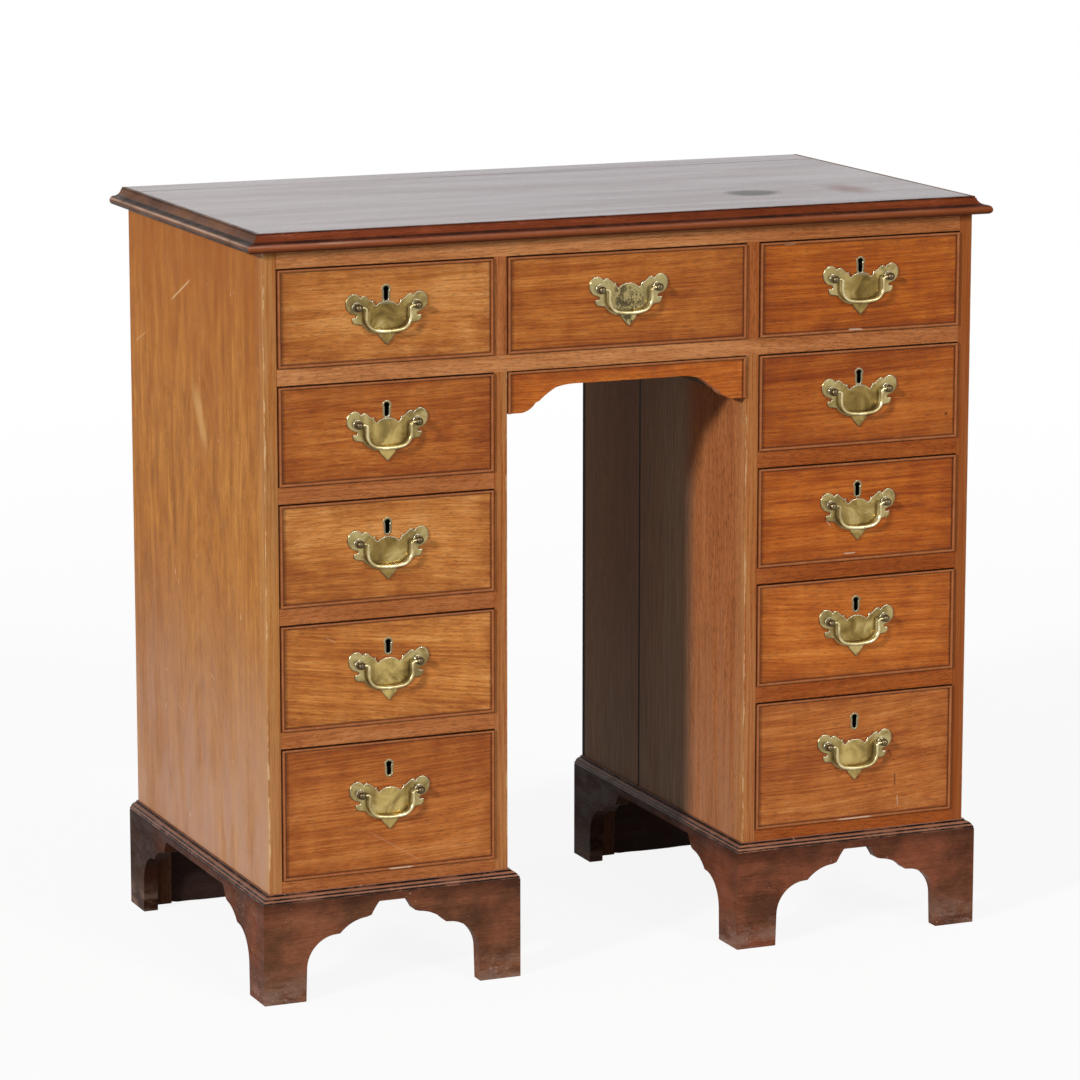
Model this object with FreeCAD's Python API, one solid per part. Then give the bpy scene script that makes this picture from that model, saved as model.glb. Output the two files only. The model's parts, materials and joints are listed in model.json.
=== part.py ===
import FreeCAD, Part
import math
import os

# A mahogany kneehole desk, in millimetres: x across, y to the back, z up from the floor.
# While it is built, y is measured from the front of the case.

# Case
case_width = 784.0
case_depth = 420.0
kneehole_width = 266.0
side_thickness = 14.0
inner_front_board = 265.0
back_board_thickness = 8.0

# Drawer openings from the top row down, and the rails between them
first_drawer_height = 99.5
second_drawer_height = 101.5
third_drawer_height = 105.5
fourth_drawer_height = 109.0
fifth_drawer_height = 136.5
rail_height = 17.0
bottom_rail_height = 21.0
rail_depth = 50.0
tenon_length = 8.0
tenon_inset = 4.5
dust_board_thickness = 10.0
kicker_width = 20.0
stop_width = 26.0
stop_depth = 12.0
stop_height = 5.0
stop_spacing = 120.0

# Top and its applied edge moulding: flat, fillet, hollow and round nose
top_thickness = 18.0
top_side_overhang = 18.5
top_front_overhang = 11.5
top_back_overhang = 6.5
top_rear_board = 48.0
moulding_width = 18.0
moulding_flat = 4.0
fillet_drop = 1.8
fillet_step = 0.9
nose_radius = 4.6
hollow_sag = 1.9

# Plinth with a cusped arch on three sides, rear brackets and glue blocks
plinth_height = 104.0
plinth_projection = 10.0
plinth_thickness = 16.0
foot_width = 45.0
arch_run = 79.5
arch_rise = 96.4
bracket_width = 46.0
bracket_curve = 40.0
block_size = 19.0
block_lift = 3.0

# Base moulding over the plinth
base_moulding_height = 9.0
base_moulding_width = 9.5
base_fillet_height = 2.2
base_fillet_step = 0.8
base_top_fillet_height = 1.6
base_top_fillet_width = 2.2
base_round_sag = 1.3

# Drawers
side_gap = 0.75
top_gap = 1.0
running_gap = 0.3
front_thickness = 20.0
drawer_depth = 385.0
lining_thickness = 8.0
bottom_thickness = 6.0
bottom_height = 7.0
groove_depth = 3.0
side_drop = 4.0
back_drop = 10.0
front_lap = 9.0
bead_thickness = 3.0
bead_let_in = 7.5
bead_proud = 2.5

# Apron drawer in the kneehole
apron_height = 43.5
apron_middle_height = 16.8
apron_thickness = 18.0
apron_end = 14.0
apron_run = 58.0
apron_gap = 0.5
apron_drawer_depth = 330.0
apron_tray_bottom_thickness = 4.0
apron_tray_lift = 0.5
apron_side_drop = 2.5
runner_width = 12.0
runner_height = 15.0
runner_lift = 2.0

# Pulls
pull_boring = 63.5
plate_width = 86.6
plate_height = 52.8
plate_thickness = 2.0
plate_bevel = 0.7
post_radius = 2.5
post_clearance = 0.15
collar_radius = 4.4
collar_height = 0.9
neck_radius = 2.3
ball_radius = 4.0
ball_reach = 5.5
post_tail = 6.0
nut_radius = 5.4
nut_thickness = 4.0
bail_span = 47.0
bail_drop = 24.6
bail_radius = 2.2
bail_bottom_width = 26.0
bail_bottom_sag = 1.2
bail_bend = 2.6
bail_sides = 8
pin_radius = 1.3
pin_clearance = 0.05
pin_entry = 3.0

# Locks
keyhole_drop = 30.0
keyhole_height = 14.6
keyhole_bulb_radius = 3.0
keyhole_slot_width = 4.8
thread_wall = 2.0
thread_depth = 3.0
lock_width = 50.0
lock_height = 46.0
lock_depth = 9.0
lock_plate = 1.5
bolt_width = 22.0
bolt_thickness = 4.0
bolt_length = 24.0
bolt_throw = 6.0
bolt_clearance = 0.3
mortise_room = 1.5

# One overrun for every cut
overrun = 2.0

# Half of the plinth arch from the foot inwards, as shares of its run and rise.
# Each stretch is the point it passes through, or None where it is straight, and its end.
arch_shares = (
    (None, (0.013, 0.353)),
    ((0.107, 0.565), (0.365, 0.690)),
    (None, (0.465, 0.697)),
    ((0.623, 0.797), (0.830, 0.845)),
    (None, (0.893, 0.861)),
    ((0.940, 0.930), (1.000, 1.000)),
)

# Half of the apron's lower edge from its end inwards, as shares of its run and rise.
apron_shares = (
    ((0.180, 0.130), (0.285, 0.363)),
    (None, (0.350, 0.412)),
    ((0.510, 0.690), (0.670, 0.900)),
    ((0.830, 0.970), (1.000, 1.000)),
)

# Right half of the batwing plate from its crest to its tip, as shares of half its width
# and of its height, measured from the middle of the line through the posts.
plate_start_shares = (0.0, 0.100)
plate_shares = (
    ((0.150, 0.078), (0.265, 0.010)),
    ((0.320, 0.050), (0.340, 0.128)),
    (None, (0.365, 0.098)),
    ((0.455, 0.148), (0.535, 0.205)),
    ((0.610, 0.208), (0.652, 0.160)),
    ((0.718, 0.228), (0.826, 0.256)),
    ((0.956, 0.195), (1.000, 0.075)),
    ((0.975, -0.028), (0.882, -0.106)),
    (None, (0.776, -0.140)),
    ((0.744, -0.174), (0.781, -0.206)),
    (None, (0.843, -0.197)),
    ((0.845, -0.269), (0.727, -0.324)),
    (None, (0.600, -0.345)),
    ((0.430, -0.473), (0.225, -0.523)),
    (None, (0.195, -0.547)),
    (None, (0.182, -0.580)),
    (None, (0.0, -0.744)),
)

# Level of a pull below the top of its opening, as a share of the opening's height
upper_pull_share = 0.427
bottom_pull_share = 0.398
centre_pull_share = 0.393

# Tenons of the rails: where they start, as a share of the rail's depth
tenon_start_share = 0.25

# Rear brackets of the plinth: run of the hollow and its sag, as shares of width and run
bracket_run_share = 0.5
bracket_sag_share = 0.25

# Dovetails: the root's share of the pitch, the slope of a tail's cheeks and the tails in a row
tail_root_share = 0.62
tail_slope_share = 0.16
tails_in_front = 3
tails_in_back = 3
tails_in_apron = 1

# Places that follow from the sizes
Vec = FreeCAD.Vector
outer_face = case_width / 2
outer_inside = outer_face - side_thickness
knee_face = kneehole_width / 2
knee_inside = knee_face + side_thickness
back_inside = case_depth - back_board_thickness
drawer_heights = (
    first_drawer_height,
    second_drawer_height,
    third_drawer_height,
    fourth_drawer_height,
    fifth_drawer_height,
)
bays = {"left": (-outer_inside, -knee_inside), "right": (knee_inside, outer_inside)}
knee_bay = (-knee_face, knee_face)
ball_front = -(plate_thickness + ball_reach + ball_radius)
ball_middle = -(plate_thickness + ball_reach)
front_edge = min(ball_front, -top_front_overhang)
back_edge = case_depth + top_back_overhang
origin_shift = -(front_edge + back_edge) / 2


def row_levels():
    """Bottom and top of each drawer opening, from the top row down."""
    levels = []
    level = plinth_height + bottom_rail_height
    for height in reversed(drawer_heights):
        levels.insert(0, (level, level + height))
        level += height + rail_height
    return levels


rows = row_levels()
case_top = rows[0][1] + rail_height
frieze_bottom = rows[1][1]


def save(node, solids):
    """Write the solids of one node, moved so that the origin is under the middle of the desk."""
    group = Part.makeCompound(solids)
    group.translate(Vec(0, origin_shift, 0))
    group.exportStep("parts/" + node + ".step")


def block(x_range, y_range, z_range):
    """Square-edged board between two corners."""
    size_x = x_range[1] - x_range[0]
    size_y = y_range[1] - y_range[0]
    size_z = z_range[1] - z_range[0]
    return Part.makeBox(size_x, size_y, size_z, Vec(x_range[0], y_range[0], z_range[0]))


def prism(corners, direction):
    """Flat polygon drawn out along a direction."""
    return Part.Face(Part.makePolygon(corners + corners[:1])).extrude(direction)


def run_of_edges(start, stretches):
    """Edges from a start point through straight and round stretches."""
    edges = []
    for through, end in stretches:
        if through is None:
            edges.append(Part.LineSegment(start, end).toShape())
        else:
            edges.append(Part.Arc(start, through, end).toShape())
        start = end
    return edges


def drawn_out(edges, direction):
    """Solid of a closed outline drawn out along a direction."""
    wire = Part.Wire(Part.__sortEdges__(edges))
    return Part.Face(wire).extrude(direction)


def mirrored_x(shape):
    """Twin of a shape on the other side of the desk."""
    return shape.mirror(Vec(0, 0, 0), Vec(1, 0, 0))


def sagging_point(start, end, sag, outward):
    """Middle of an arc that leaves its chord by the sag, on the side that outward points to."""
    middle = (start + end) * 0.5
    along = end - start
    side = Vec(outward.x, outward.y, outward.z) - along * (outward.dot(along) / along.dot(along))
    return middle + side.normalize() * sag


# Top: two boards joined near the back edge, and three mitred strips of moulding
top_range = (case_top, case_top + top_thickness)
board_half = outer_face + top_side_overhang - moulding_width
board_front = moulding_width - top_front_overhang


def top_boards():
    joint = back_edge - top_rear_board
    across = (-board_half, board_half)
    front_board = block(across, (board_front, joint), top_range)
    rear_board = block(across, (joint, back_edge), top_range)
    return [front_board, rear_board]


def top_profile(place, direction):
    """Edge moulding drawn out along a direction; place turns (out, up) into a point."""
    low = case_top
    high = case_top + top_thickness
    nose_foot = place(moulding_width - nose_radius, low)
    nose_tip = place(moulding_width, low + nose_radius)
    nose_top = place(moulding_width - nose_radius, low + nose_radius * 2)
    hollow_top = place(moulding_flat + fillet_step, high - fillet_drop)
    hollow_side = place(0, low) - place(1, low + 1)
    hollow_middle = sagging_point(nose_top, hollow_top, hollow_sag, hollow_side)
    stretches = (
        (None, nose_foot),
        (nose_tip, nose_top),
        (hollow_middle, hollow_top),
        (None, place(moulding_flat, high - fillet_drop)),
        (None, place(moulding_flat, high)),
        (None, place(0, high)),
        (None, place(0, low)),
    )
    return drawn_out(run_of_edges(place(0, low), stretches), direction)


def top_mouldings():
    reach_x = board_half + moulding_width
    reach_y = board_front - moulding_width
    rise = Vec(0, 0, top_thickness)
    front = top_profile(lambda out, up: Vec(-reach_x, board_front - out, up), Vec(reach_x * 2, 0, 0))
    front_plan = [
        Vec(-board_half, board_front, case_top),
        Vec(-reach_x, reach_y, case_top),
        Vec(reach_x, reach_y, case_top),
        Vec(board_half, board_front, case_top),
    ]
    right = top_profile(lambda out, up: Vec(board_half + out, reach_y, up), Vec(0, back_edge - reach_y, 0))
    right_plan = [
        Vec(board_half, board_front, case_top),
        Vec(reach_x, reach_y, case_top),
        Vec(reach_x, back_edge, case_top),
        Vec(board_half, back_edge, case_top),
    ]
    front = front.common(prism(front_plan, rise))
    right = right.common(prism(right_plan, rise))
    return [mirrored_x(right), front, right]


# Case: sides, dividers, rails, dust boards, kickers, stops and back boards
def tenon_range(level, height):
    return (level + tenon_inset, level + height - tenon_inset)


tenon_depth_range = (rail_depth * tenon_start_share, rail_depth - tenon_inset)
inner_rails = [(top, rail_height) for bottom, top in rows[2:]]
inner_rails.append((plinth_height, bottom_rail_height))
long_rails = [(rows[0][1], rail_height), (frieze_bottom, rail_height)]


def mortised(board, face, reach, rails):
    """Board with a stopped mortise for the tenon of each rail, sunk from a face towards reach."""
    cuts = []
    for level, height in rails:
        across = tuple(sorted((face, reach)))
        cuts.append(block(across, tenon_depth_range, tenon_range(level, height)))
    return board.cut(cuts)


def outer_side():
    """Right outer side: one board from the plinth to the top."""
    board = block((outer_inside, outer_face), (0, case_depth), (plinth_height, case_top))
    return mortised(board, outer_inside, outer_inside + tenon_length, inner_rails + long_rails)


def inner_side():
    """Right inner side: two boards glued edge to edge, up to the frieze."""
    across = (knee_face, knee_inside)
    upright = (plinth_height, frieze_bottom)
    front_board = block(across, (0, inner_front_board), upright)
    rear_board = block(across, (inner_front_board, case_depth), upright)
    front_board = mortised(front_board, knee_inside, knee_inside - tenon_length, inner_rails)
    return [front_board, rear_board]


def upper_dividers():
    divider = block((knee_face, knee_inside), (0, back_inside), rows[0])
    return [mirrored_x(divider), divider]


def rail(bay, level, height):
    """Rail across a bay with a stub tenon on each end."""
    body = block(bay, (0, rail_depth), (level, level + height))
    tenon_reach = (bay[0] - tenon_length, bay[1] + tenon_length)
    tenons = block(tenon_reach, tenon_depth_range, tenon_range(level, height))
    return body.fuse(tenons).removeSplitter()


def bolt_mortises():
    """Room for the thrown bolts in the undersides of the rails."""
    cuts = []
    back = front_thickness - lock_plate + mortise_room
    front = front_thickness - lock_plate - bolt_thickness - mortise_room
    for bay in bays.values():
        middle = (bay[0] + bay[1]) / 2
        half = bolt_width / 2 + mortise_room
        for bottom, top in rows:
            height = (top - overrun, top + bolt_throw + mortise_room)
            cuts.append(block((middle - half, middle + half), (front, back), height))
    return cuts


def drawer_rails():
    rails = [rail((-outer_inside, outer_inside), level, height) for level, height in long_rails]
    for bay in bays.values():
        for level, height in inner_rails:
            rails.append(rail(bay, level, height))
    cuts = bolt_mortises()
    return [piece.cut(cuts) for piece in rails]


def dust_boards():
    depth = (rail_depth, back_inside)
    frieze = (frieze_bottom, frieze_bottom + rail_height)
    boards = [block((-outer_inside, outer_inside), depth, frieze)]
    for bay in bays.values():
        for level, height in inner_rails:
            top = level + height
            boards.append(block(bay, depth, (top - dust_board_thickness, top)))
    return boards


def kickers():
    """Strips under the top that keep the top drawers from tipping."""
    strips = []
    upright = (rows[0][1], case_top)
    depth = (rail_depth, back_inside)
    for bay in (bays["left"], knee_bay, bays["right"]):
        strips.append(block((bay[0], bay[0] + kicker_width), depth, upright))
        strips.append(block((bay[1] - kicker_width, bay[1]), depth, upright))
    return strips


def stops():
    """Small blocks on the rails that the drawer fronts come to rest against."""
    blocks = []
    places = [(bay, bottom) for bay in bays.values() for bottom, top in rows]
    places.append((knee_bay, rows[0][0]))
    depth = (front_thickness + running_gap, front_thickness + running_gap + stop_depth)
    for bay, bottom in places:
        for side in (-1, 1):
            middle = (bay[0] + bay[1]) / 2 + side * stop_spacing / 2
            across = (middle - stop_width / 2, middle + stop_width / 2)
            blocks.append(block(across, depth, (bottom, bottom + stop_height)))
    return blocks


def back_boards():
    """Two upright boards behind each pedestal and one across the frieze."""
    depth = (back_inside, case_depth)
    boards = []
    for bay in bays.values():
        middle = (bay[0] + bay[1]) / 2
        for across in ((bay[0], middle), (middle, bay[1])):
            boards.append(block(across, depth, (plinth_height, case_top)))
    boards.append(block((-knee_inside, knee_inside), depth, (frieze_bottom, case_top)))
    return boards


# Base: arched plinth boards, rear brackets, glue blocks and a mitred moulding
plinth_outer = outer_face + plinth_projection
plinth_inner = knee_face - plinth_projection
plinth_front = -plinth_projection


def arched_board(place, length, direction):
    """Plinth board with its arch drawn out along a direction; place turns (along, up) into a point."""
    def from_left(share):
        return place(foot_width + arch_run * share[0], arch_rise * share[1])

    def from_right(share):
        return place(length - foot_width - arch_run * share[0], arch_rise * share[1])

    edges = []
    for side in (from_left, from_right):
        stretches = [(through and side(through), side(end)) for through, end in arch_shares]
        edges += run_of_edges(side((0, 0)), stretches)
    summit_left = from_left(arch_shares[-1][1])
    edges += run_of_edges(summit_left, [(None, from_right(arch_shares[-1][1]))])
    around = (
        (None, place(0, 0)),
        (None, place(0, plinth_height)),
        (None, place(length, plinth_height)),
        (None, place(length, 0)),
        (None, from_right((0, 0))),
    )
    edges += run_of_edges(from_left((0, 0)), around)
    return drawn_out(edges, direction)


def rear_bracket(outside, inward):
    """Plain bracket behind a rear foot, with its lower inner corner rounded off."""
    start = outside + inward * plinth_thickness
    end = start + inward * bracket_width
    face = case_depth - plinth_thickness
    swing = bracket_width * bracket_run_share
    knee = Vec(start + inward * swing, face, 0)
    hip = Vec(end, face, bracket_curve)
    bend = sagging_point(knee, hip, swing * bracket_sag_share, Vec(inward, 0, -1))
    stretches = (
        (None, knee),
        (bend, hip),
        (None, Vec(end, face, plinth_height)),
        (None, Vec(start, face, plinth_height)),
        (None, Vec(start, face, 0)),
    )
    return drawn_out(run_of_edges(Vec(start, face, 0), stretches), Vec(0, plinth_thickness, 0))


def right_plinth():
    """Front and two side boards, mitred at the front corners, and two rear brackets."""
    low = plinth_inner
    high = plinth_outer
    wall = plinth_thickness
    rise = Vec(0, 0, plinth_height)
    depth = case_depth - plinth_front
    front = arched_board(lambda along, up: Vec(low + along, plinth_front, up), high - low, Vec(0, wall, 0))
    front_plan = [
        Vec(low, plinth_front, 0),
        Vec(high, plinth_front, 0),
        Vec(high - wall, plinth_front + wall, 0),
        Vec(low + wall, plinth_front + wall, 0),
    ]
    boards = [front.common(prism(front_plan, rise))]
    for outside, inward in ((low, 1), (high, -1)):
        inside = outside + inward * wall
        board = arched_board(
            lambda along, up: Vec(outside, plinth_front + along, up), depth, Vec(inward * wall, 0, 0)
        )
        plan = [
            Vec(outside, plinth_front, 0),
            Vec(inside, plinth_front + wall, 0),
            Vec(inside, case_depth, 0),
            Vec(outside, case_depth, 0),
        ]
        boards.append(board.common(prism(plan, rise)))
        boards.append(rear_bracket(outside, inward))
    return boards


def foot_blocks():
    """Upright glue blocks in the corners of both plinths."""
    blocks = []
    upright = (block_lift, plinth_height)
    front_corner = plinth_front + plinth_thickness
    rear_corner = case_depth - plinth_thickness
    for depth in ((front_corner, front_corner + block_size), (rear_corner - block_size, rear_corner)):
        low = plinth_inner + plinth_thickness
        high = plinth_outer - plinth_thickness
        for across in ((low, low + block_size), (high - block_size, high)):
            corner = block(across, depth, upright)
            blocks += [corner, mirrored_x(corner)]
    return blocks


def base_profile(place, direction):
    """Base moulding drawn out along a direction; place turns (out, up) into a point."""
    low = plinth_height
    high = plinth_height + base_moulding_height
    shoulder = place(base_moulding_width - base_fillet_step, low + base_fillet_height)
    neck = place(base_top_fillet_width, high - base_top_fillet_height)
    outward = place(1, low + 1) - place(0, low)
    swell = sagging_point(shoulder, neck, base_round_sag, outward)
    stretches = (
        (None, place(base_moulding_width, low)),
        (None, place(base_moulding_width, low + base_fillet_height)),
        (None, shoulder),
        (swell, neck),
        (None, place(base_top_fillet_width, high)),
        (None, place(0, high)),
        (None, place(0, low)),
    )
    return drawn_out(run_of_edges(place(0, low), stretches), direction)


def base_mouldings():
    """Three strips round each pedestal, mitred at the front corners."""
    width = base_moulding_width
    rise = Vec(0, 0, base_moulding_height)
    low = knee_face
    high = outer_face
    level = plinth_height
    span = high - low + width * 2
    front = base_profile(lambda out, up: Vec(low - width, -out, up), Vec(span, 0, 0))
    front_plan = [
        Vec(low, 0, level),
        Vec(low - width, -width, level),
        Vec(high + width, -width, level),
        Vec(high, 0, level),
    ]
    strips = [front.common(prism(front_plan, rise))]
    for face, outward in ((low, -1), (high, 1)):
        strip = base_profile(
            lambda out, up: Vec(face + outward * out, -width, up), Vec(0, case_depth + width, 0)
        )
        plan = [
            Vec(face, 0, level),
            Vec(face + outward * width, -width, level),
            Vec(face + outward * width, case_depth, level),
            Vec(face, case_depth, level),
        ]
        strips.append(strip.common(prism(plan, rise)))
    return strips + [mirrored_x(strip) for strip in strips]


# Drawers: dovetailed boxes with a cock bead let into the edges of the front
def bead_strip(place, direction, mitre):
    """Bead with a half round nose drawn out along a direction and trimmed to its mitres.

    place turns (depth, across) into a point, and mitre is the strip's face seen from the front.
    """
    round_start = bead_thickness / 2 - bead_proud
    stretches = (
        (None, place(round_start, 0)),
        (place(-bead_proud, bead_thickness / 2), place(round_start, bead_thickness)),
        (None, place(bead_let_in, bead_thickness)),
        (None, place(bead_let_in, 0)),
    )
    strip = drawn_out(run_of_edges(place(bead_let_in, 0), stretches), direction)
    corners = [Vec(x, -bead_proud, z) for x, z in mitre]
    return strip.common(prism(corners, Vec(0, bead_proud + bead_let_in, 0)))


def cock_beads(across, upright, with_bottom):
    """Top, side and, where wanted, bottom strips round a drawer front."""
    left, right = across
    low, high = upright
    wall = bead_thickness
    foot = low + wall if with_bottom else low
    wide = Vec(right - left, 0, 0)
    tall = Vec(0, 0, high - low)
    strips = [
        bead_strip(
            lambda depth, over: Vec(left, depth, high - over),
            wide,
            ((left, high), (right, high), (right - wall, high - wall), (left + wall, high - wall)),
        ),
        bead_strip(
            lambda depth, over: Vec(left + over, depth, low),
            tall,
            ((left, low), (left, high), (left + wall, high - wall), (left + wall, foot)),
        ),
        bead_strip(
            lambda depth, over: Vec(right - over, depth, low),
            tall,
            ((right, low), (right, high), (right - wall, high - wall), (right - wall, foot)),
        ),
    ]
    if with_bottom:
        strips.append(
            bead_strip(
                lambda depth, over: Vec(left, depth, low + over),
                wide,
                ((left, low), (right, low), (right - wall, low + wall), (left + wall, low + wall)),
            )
        )
    return strips


def bead_rebates(across, upright, with_bottom):
    """Cuts in a drawer front for the inner part of the beads."""
    left, right = across
    low, high = upright
    depth = (-overrun, bead_let_in)
    wide = (left - overrun, right + overrun)
    tall = (low - overrun, high + overrun)
    cuts = [
        block(wide, depth, (high - bead_thickness, high + overrun)),
        block((left - overrun, left + bead_thickness), depth, tall),
        block((right - bead_thickness, right + overrun), depth, tall),
    ]
    if with_bottom:
        cuts.append(block(wide, depth, (low - overrun, low + bead_thickness)))
    return cuts


def dovetails(across, shoulder, end, upright, count):
    """Row of tails that widen from the shoulder to the end."""
    pitch = (upright[1] - upright[0]) / count
    root = pitch * tail_root_share / 2
    tip = root + abs(end - shoulder) * tail_slope_share
    tails = []
    for index in range(count):
        middle = upright[0] + pitch * (index + 0.5)
        corners = [
            Vec(across[0], shoulder, middle - root),
            Vec(across[0], end, middle - tip),
            Vec(across[0], end, middle + tip),
            Vec(across[0], shoulder, middle + root),
        ]
        tails.append(prism(corners, Vec(across[1] - across[0], 0, 0)))
    return tails


def drawer_box(across, wall_range, back_range, depth, bottom, face_back, counts):
    """Two sides, a back and the tails that the front is cut for.

    wall_range and back_range are the heights of the sides and the back, bottom is the bottom board,
    face_back is the back of the front, and counts are the tails in the front and in the back.
    """
    left, right = across
    lap = face_back - (front_thickness - front_lap)
    back = block(across, (depth - lining_thickness, depth), back_range)
    sides = []
    front_tails = []
    for wall in ((left, left + lining_thickness), (right - lining_thickness, right)):
        tails = dovetails(wall, face_back, face_back - lap, wall_range, counts[0])
        rear_tails = dovetails(wall, depth - lining_thickness, depth, back_range, counts[1])
        pins = block(wall, (depth - lining_thickness, depth), back_range).cut(rear_tails)
        board = block(wall, (face_back, depth), wall_range).fuse(tails).removeSplitter()
        sides.append(board.cut([pins, bottom]))
        back = back.cut(rear_tails)
        front_tails += tails
    return sides, back, front_tails


def keyhole(middle, level, grow, depth_range):
    """Keyhole drawn out along y: a round bulb over a slot with a round foot."""
    bulb = keyhole_bulb_radius + grow
    slot = keyhole_slot_width / 2 + grow
    head = level + keyhole_height / 2 - keyhole_bulb_radius
    foot = level - keyhole_height / 2 + keyhole_slot_width / 2
    length = depth_range[1] - depth_range[0]
    front = depth_range[0]
    turn = Vec(0, 1, 0)
    round_head = Part.makeCylinder(bulb, length, Vec(middle, front, head), turn)
    round_foot = Part.makeCylinder(slot, length, Vec(middle, front, foot), turn)
    shank = block((middle - slot, middle + slot), depth_range, (foot, head))
    return round_head.fuse([round_foot, shank]).removeSplitter()


class Drawer:
    """Places of one drawer that its wood, pull and lock share."""

    def __init__(self, bay, row, pull_share, locked):
        self.across = (bay[0] + side_gap, bay[1] - side_gap)
        self.middle = (bay[0] + bay[1]) / 2
        self.low = row[0] + running_gap
        self.high = row[1] - top_gap
        self.pull_level = row[1] - (row[1] - row[0]) * pull_share
        self.key_level = row[1] - keyhole_drop
        self.locked = locked
        self.posts = (self.middle - pull_boring / 2, self.middle + pull_boring / 2)


def drawer_wood(drawer):
    """Front, cock beads, sides, back and bottom of one drawer."""
    left, right = drawer.across
    low = drawer.low
    high = drawer.high
    upright = (low, high)
    bottom_range = (low + bottom_height, low + bottom_height + bottom_thickness)
    bottom = block(
        (left + lining_thickness - groove_depth, right - lining_thickness + groove_depth),
        (front_thickness - groove_depth, drawer_depth),
        bottom_range,
    )
    sides, back, tails = drawer_box(
        drawer.across,
        (low, high - side_drop),
        (bottom_range[1], high - back_drop),
        drawer_depth,
        bottom,
        front_thickness,
        (tails_in_front, tails_in_back),
    )
    cuts = bead_rebates(drawer.across, upright, True) + tails + [bottom] + post_holes(drawer)
    if drawer.locked:
        cuts += lock_cuts(drawer)
    front = block(drawer.across, (0, front_thickness), upright).cut(cuts)
    return [front, back, bottom] + sides + cock_beads(drawer.across, upright, True)


def post_holes(drawer):
    """Holes for the posts of the pull, right through the front."""
    length = front_thickness + overrun * 2
    radius = post_radius + post_clearance
    turn = Vec(0, 1, 0)
    places = [Vec(x, -overrun, drawer.pull_level) for x in drawer.posts]
    return [Part.makeCylinder(radius, length, place, turn) for place in places]


def lock_range(drawer):
    """Box that the lock case fills, flush with the back and the top of the front."""
    across = (drawer.middle - lock_width / 2, drawer.middle + lock_width / 2)
    depth = (front_thickness - lock_depth, front_thickness)
    return across, depth, (drawer.high - lock_height, drawer.high)


def lock_cuts(drawer):
    """Mortise for the lock, recess for the thread escutcheon and the keyhole between them."""
    mortise = block(*lock_range(drawer))
    recess = keyhole(drawer.middle, drawer.key_level, thread_wall, (-overrun, thread_depth))
    passage = keyhole(drawer.middle, drawer.key_level, 0, (-overrun, front_thickness))
    return [mortise, recess, passage]


def bolt_range(drawer, room):
    """Box of the bolt, or with room of its way in the lock case."""
    half = bolt_width / 2 + room
    back = front_thickness - lock_plate
    depth = (back - bolt_thickness - room, back + room)
    foot = drawer.high - bolt_length - room
    return (drawer.middle - half, drawer.middle + half), depth, (foot, drawer.high)


def lock_bolt(drawer):
    return [block(*bolt_range(drawer, 0))]


def lock_case(drawer):
    """Iron case with the bolt's way open at the top and the keyhole in its front plate."""
    across, depth, upright = bolt_range(drawer, bolt_clearance)
    way = block(across, depth, (upright[0], upright[1] + overrun))
    key_way = keyhole(drawer.middle, drawer.key_level, 0, (0, front_thickness - lock_depth + lock_plate))
    return block(*lock_range(drawer)).cut([way, key_way])


def thread_escutcheon(drawer):
    """Brass lining of the keyhole, flush with the face."""
    outside = keyhole(drawer.middle, drawer.key_level, thread_wall, (0, thread_depth))
    inside = keyhole(drawer.middle, drawer.key_level, 0, (-overrun, thread_depth + overrun))
    return outside.cut(inside)


# Pulls: batwing plate, two posts with ball heads, nuts inside the drawer and a swinging bail
def plate_outline(shrink, depth):
    """Closed outline of the plate at a depth, drawn in by an edge all round."""
    half = plate_width / 2 - shrink
    height = plate_height - shrink * 2

    def place(share):
        return Vec(half * share[0], depth, height * share[1])

    stretches = [(through and place(through), place(end)) for through, end in plate_shares]
    right_half = run_of_edges(place(plate_start_shares), stretches)
    left_half = [mirrored_x(edge) for edge in reversed(right_half)]
    return Part.Wire(right_half + left_half)


def pull_plate(drawer):
    """Flat cast plate with a bevelled edge, against the face of the drawer."""
    shoulder = plate_bevel - plate_thickness
    back = plate_outline(0, 0)
    edge = plate_outline(0, shoulder)
    face = plate_outline(plate_bevel, -plate_thickness)
    body = Part.Face(back).extrude(Vec(0, shoulder, 0))
    bevel = Part.makeLoft([edge, face], True, True)
    plate = body.fuse(bevel).removeSplitter()
    plate.translate(Vec(drawer.middle, 0, drawer.pull_level))
    return plate.cut(post_holes(drawer))


def post(place, inward):
    """Turned post with a ball head, bored on its inner side for the pin of the bail."""
    neck_end = math.sqrt(ball_radius ** 2 - neck_radius ** 2)
    tail = front_thickness + post_tail
    face = -plate_thickness
    collar_end = face - collar_height
    stretches = (
        (None, Vec(post_radius, tail, 0)),
        (None, Vec(post_radius, face, 0)),
        (None, Vec(collar_radius, face, 0)),
        (None, Vec(collar_radius, collar_end, 0)),
        (None, Vec(neck_radius, collar_end - collar_height, 0)),
        (None, Vec(neck_radius, ball_middle + neck_end, 0)),
        (Vec(ball_radius, ball_middle, 0), Vec(0, ball_front, 0)),
        (None, Vec(0, tail, 0)),
    )
    outline = Part.Wire(run_of_edges(Vec(0, tail, 0), stretches))
    turned = Part.Face(outline).revolve(Vec(0, 0, 0), Vec(0, 1, 0), 360)
    bore_end = ball_radius - pin_entry - pin_clearance
    bore = Part.makeCylinder(
        pin_radius + pin_clearance, ball_radius, Vec(inward * bore_end, ball_middle, 0), Vec(inward, 0, 0)
    )
    turned = turned.cut(bore)
    turned.translate(place)
    return turned


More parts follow.
